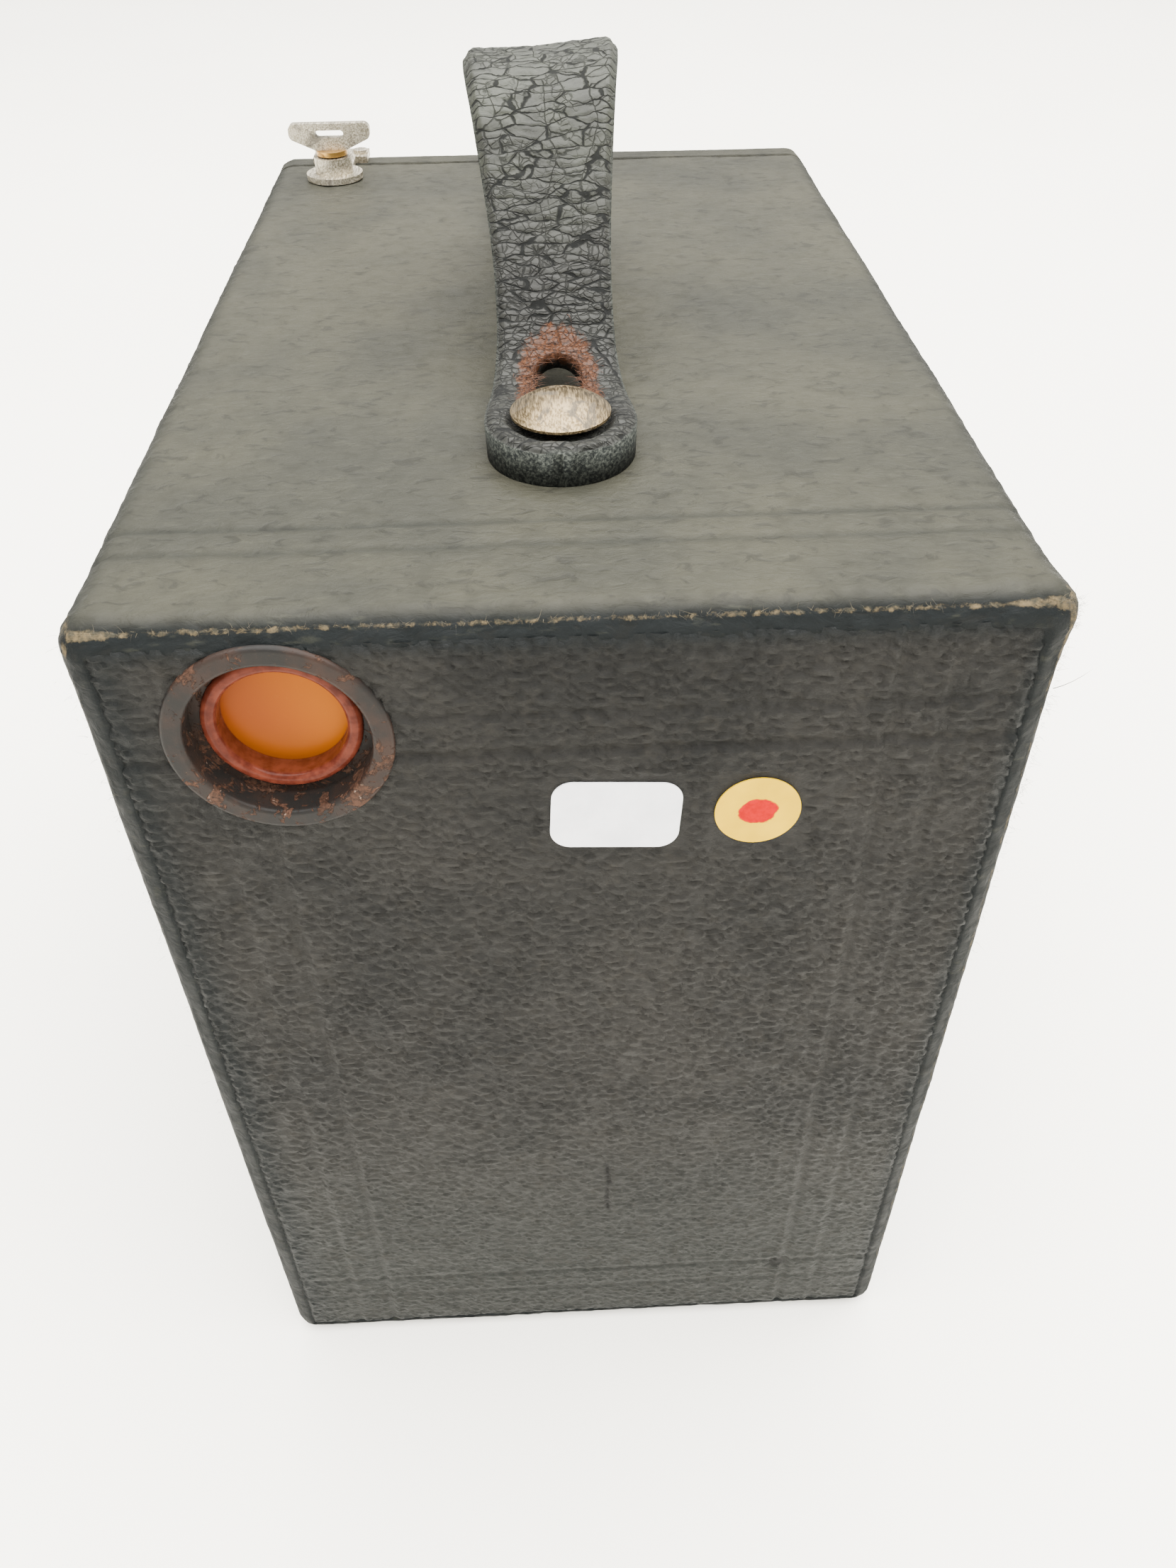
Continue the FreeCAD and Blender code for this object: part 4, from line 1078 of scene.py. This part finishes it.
def make_edge_fibres():
    """Frayed fibres along the worn upper and side edges of the back, and one loose thread."""
    rng = random.Random(SEED + 1)
    points, faces = [], []
    spots = []
    for _ in range(260):
        spots.append((rng.uniform(-SIDE_X + 1, SIDE_X - 1), TOP_Z - 0.8, (0, 0.7, 0.7)))
    for count, side, reach in ((210, -1, 22), (110, 1, 30)):
        for _ in range(count):
            z = TOP_Z - 1.5 - abs(rng.gauss(0, reach))
            spots.append((side * (SIDE_X - 0.8), z, (side * 0.8, 0.6, 0)))
    for _ in range(170):
        spots.append((-SIDE_X + rng.uniform(0.2, 2.2), TOP_Z - rng.uniform(0.3, 3.5), (-0.6, 0.6, 0.5)))
    for x, z, out in spots:
        if z < 3:
            continue
        out = np.array(out)
        root = np.array([x, BACK_Y - 0.8, z]) + rng.gauss(0, 0.25) + out * 0.15
        lean = out + np.array([rng.gauss(0, 0.7) for _ in range(3)])
        bend = np.array([rng.gauss(0, 0.5) for _ in range(3)])
        strand(points, faces, root, lean, bend, rng.uniform(0.3, 0.8), rng.uniform(0.008, 0.018))
    loose_end = np.array([-SIDE_X + 0.3, BACK_Y - 1.2, TOP_Z - 10.0])
    strand(points, faces, loose_end, np.array([-1.0, 0.1, 0.35]), np.array([0.1, 0.1, 0.45]), 3.2, 0.045)
    obj = new_object("frayed_edges", points, faces, shade_smooth=False)
    paint(obj, loose_fibres("edge_fibres", 1.5, 0.4, 0.6, srgb(30, 31, 30), srgb(84, 76, 58)))
    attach(obj, "case")


# ---- CAD nodes' finishes
def finish_nodes():
    """Gives every CAD node that stays visible its material."""
    dot_low, dot_high = box_mm("dot_sticker")
    dot = (dot_low + dot_high) / 2
    raw = (srgb(120, 90, 58), srgb(168, 132, 90))
    stained = (srgb(20, 19, 18), srgb(38, 35, 32))
    finishes = {
        wood("board_wood_long", *raw, "Y"): ("top_board", "bottom_board", "left_board", "right_board"),
        wood("board_wood_back", *raw, "Z"): ("back_board",),
        wood("stained_wood_long", *stained, "Y", 0.6): ("works_top_plate", "works_bottom_plate"),
        wood("stained_wood_tall", *stained, "Z", 0.6): (
            "front_board", "slide_rails", "lens_standoffs", "lens_board", "film_gate"),
        wood("spool_wood", srgb(138, 98, 58), srgb(188, 146, 96), "Z", 0.42): (
            "take_up_core", "supply_core"),
        worn_enamel("ring_enamel", WINDOW[1]): ("window_ring",),
        worn_enamel(): ("lens_bezel", "finder_bezel", "finder_window_frame"),
        nickel("worn_nickel", srgb(80, 68, 48), srgb(136, 120, 92)): (
            "strap_stud_rear", "strap_stud_front"),
        nickel("bright_nickel", srgb(150, 142, 124), srgb(208, 200, 182)): (
            "key_plate", "key_plate_screws", "key_bush", "key_bow", "catch_springs", "catch_screws"),
        brass(): ("tripod_bush", "key_shaft", "key_ratchet", "lens_ring"),
        steel(): ("shutter_pivots", "spool_pins", "release_lever", "roller_left", "roller_right",
                  "take_up_flanges", "supply_flanges"),
        black_lacquer(): ("shutter_plate", "shutter_disc", "stop_slide", "time_slide"),
        black_card(): ("window_baffle", "cone_left", "cone_right", "cone_top", "cone_bottom", "finder_box"),
        amber_glass(): ("window_glass",),
        clear_glass("lens_glass", (0.93, 0.95, 0.94, 1.0)): ("lens", "finder_lens"),
        clear_glass("finder_glass", (0.9, 0.93, 0.9, 1.0)): ("finder_window",),
        mirror(): ("finder_mirror",),
        paper("label_paper", srgb(226, 226, 229)): ("paper_label",),
        paper("dot_paper", srgb(198, 160, 0), (dot[0], dot[2], 1.55, srgb(160, 6, 6))): ("dot_sticker",),
    }
    for material, nodes in finishes.items():
        for node in nodes:
            paint(frame["nodes"][node], material)


# ---- stage and camera
FLOOR_HALF = 4000.0
FLOOR_DROP = 0.02
CAMERA_LENS = 28.13
CAMERA_PLACE = (2.17, 149.1, 178.1)
CAMERA_FORWARD = (-0.02952, -0.74574, -0.66558)
CAMERA_RIGHT = (-0.99885, 0.04721, -0.00860)


def make_stage():
    """A pale floor, a bright surrounding and two large soft lights."""
    corners = [(x * FLOOR_HALF, y * FLOOR_HALF, 0) for x, y in ((-1, -1), (1, -1), (1, 1), (-1, 1))]
    obj = new_object("floor", corners, [[0, 1, 2, 3]], shade_smooth=False)
    obj.location.z = -FLOOR_DROP * MM
    paint(obj, floor_paint())
    world = bpy.data.worlds.new("studio")
    world.use_nodes = True
    background = world.node_tree.nodes["Background"].inputs
    background["Color"].default_value = (1.0, 0.985, 0.935, 1.0)
    background["Strength"].default_value = 1.3
    bpy.context.scene.world = world
    for name, place, aim, width, power in (
            ("overhead", (-0.15, 0.0, 1.3), (0, -0.1, 0.0), 2.2, 220.0),
            ("behind_viewer", (0.6, 0.9, 0.5), (0, 0.05, 0.06), 0.6, 4.0)):
        light = bpy.data.lights.new(name, "AREA")
        light.energy = power
        light.size = width
        light.color = (1.0, 0.985, 0.96)
        lamp = bpy.data.objects.new(name, light)
        lamp.location = place
        lamp.rotation_euler = (Vector(aim) - Vector(place)).to_track_quat("-Z", "Y").to_euler()
        bpy.context.scene.collection.objects.link(lamp)


def make_camera():
    """The camera, looking down on the back from behind at hand height."""
    camera = bpy.data.cameras.new("view")
    camera.sensor_width = 36.0
    camera.lens = CAMERA_LENS
    camera.clip_start = 0.01
    obj = bpy.data.objects.new("view", camera)
    forward = Vector(CAMERA_FORWARD).normalized()
    right = Vector(CAMERA_RIGHT).normalized()
    up = right.cross(forward).normalized()
    right = forward.cross(up)
    turn = Matrix((right, up, -forward)).transposed()
    obj.matrix_world = Matrix.Translation(Vector(CAMERA_PLACE) * MM) @ turn.to_4x4()
    bpy.context.scene.collection.objects.link(obj)
    bpy.context.scene.camera = obj


def main():
    make_camera()
    make_stage()
    leather = cover_leather()
    make_cover(leather)
    make_panel()
    make_front_cover(leather)
    make_strap()
    make_suede_fibres()
    make_edge_fibres()
    finish_nodes()


main()
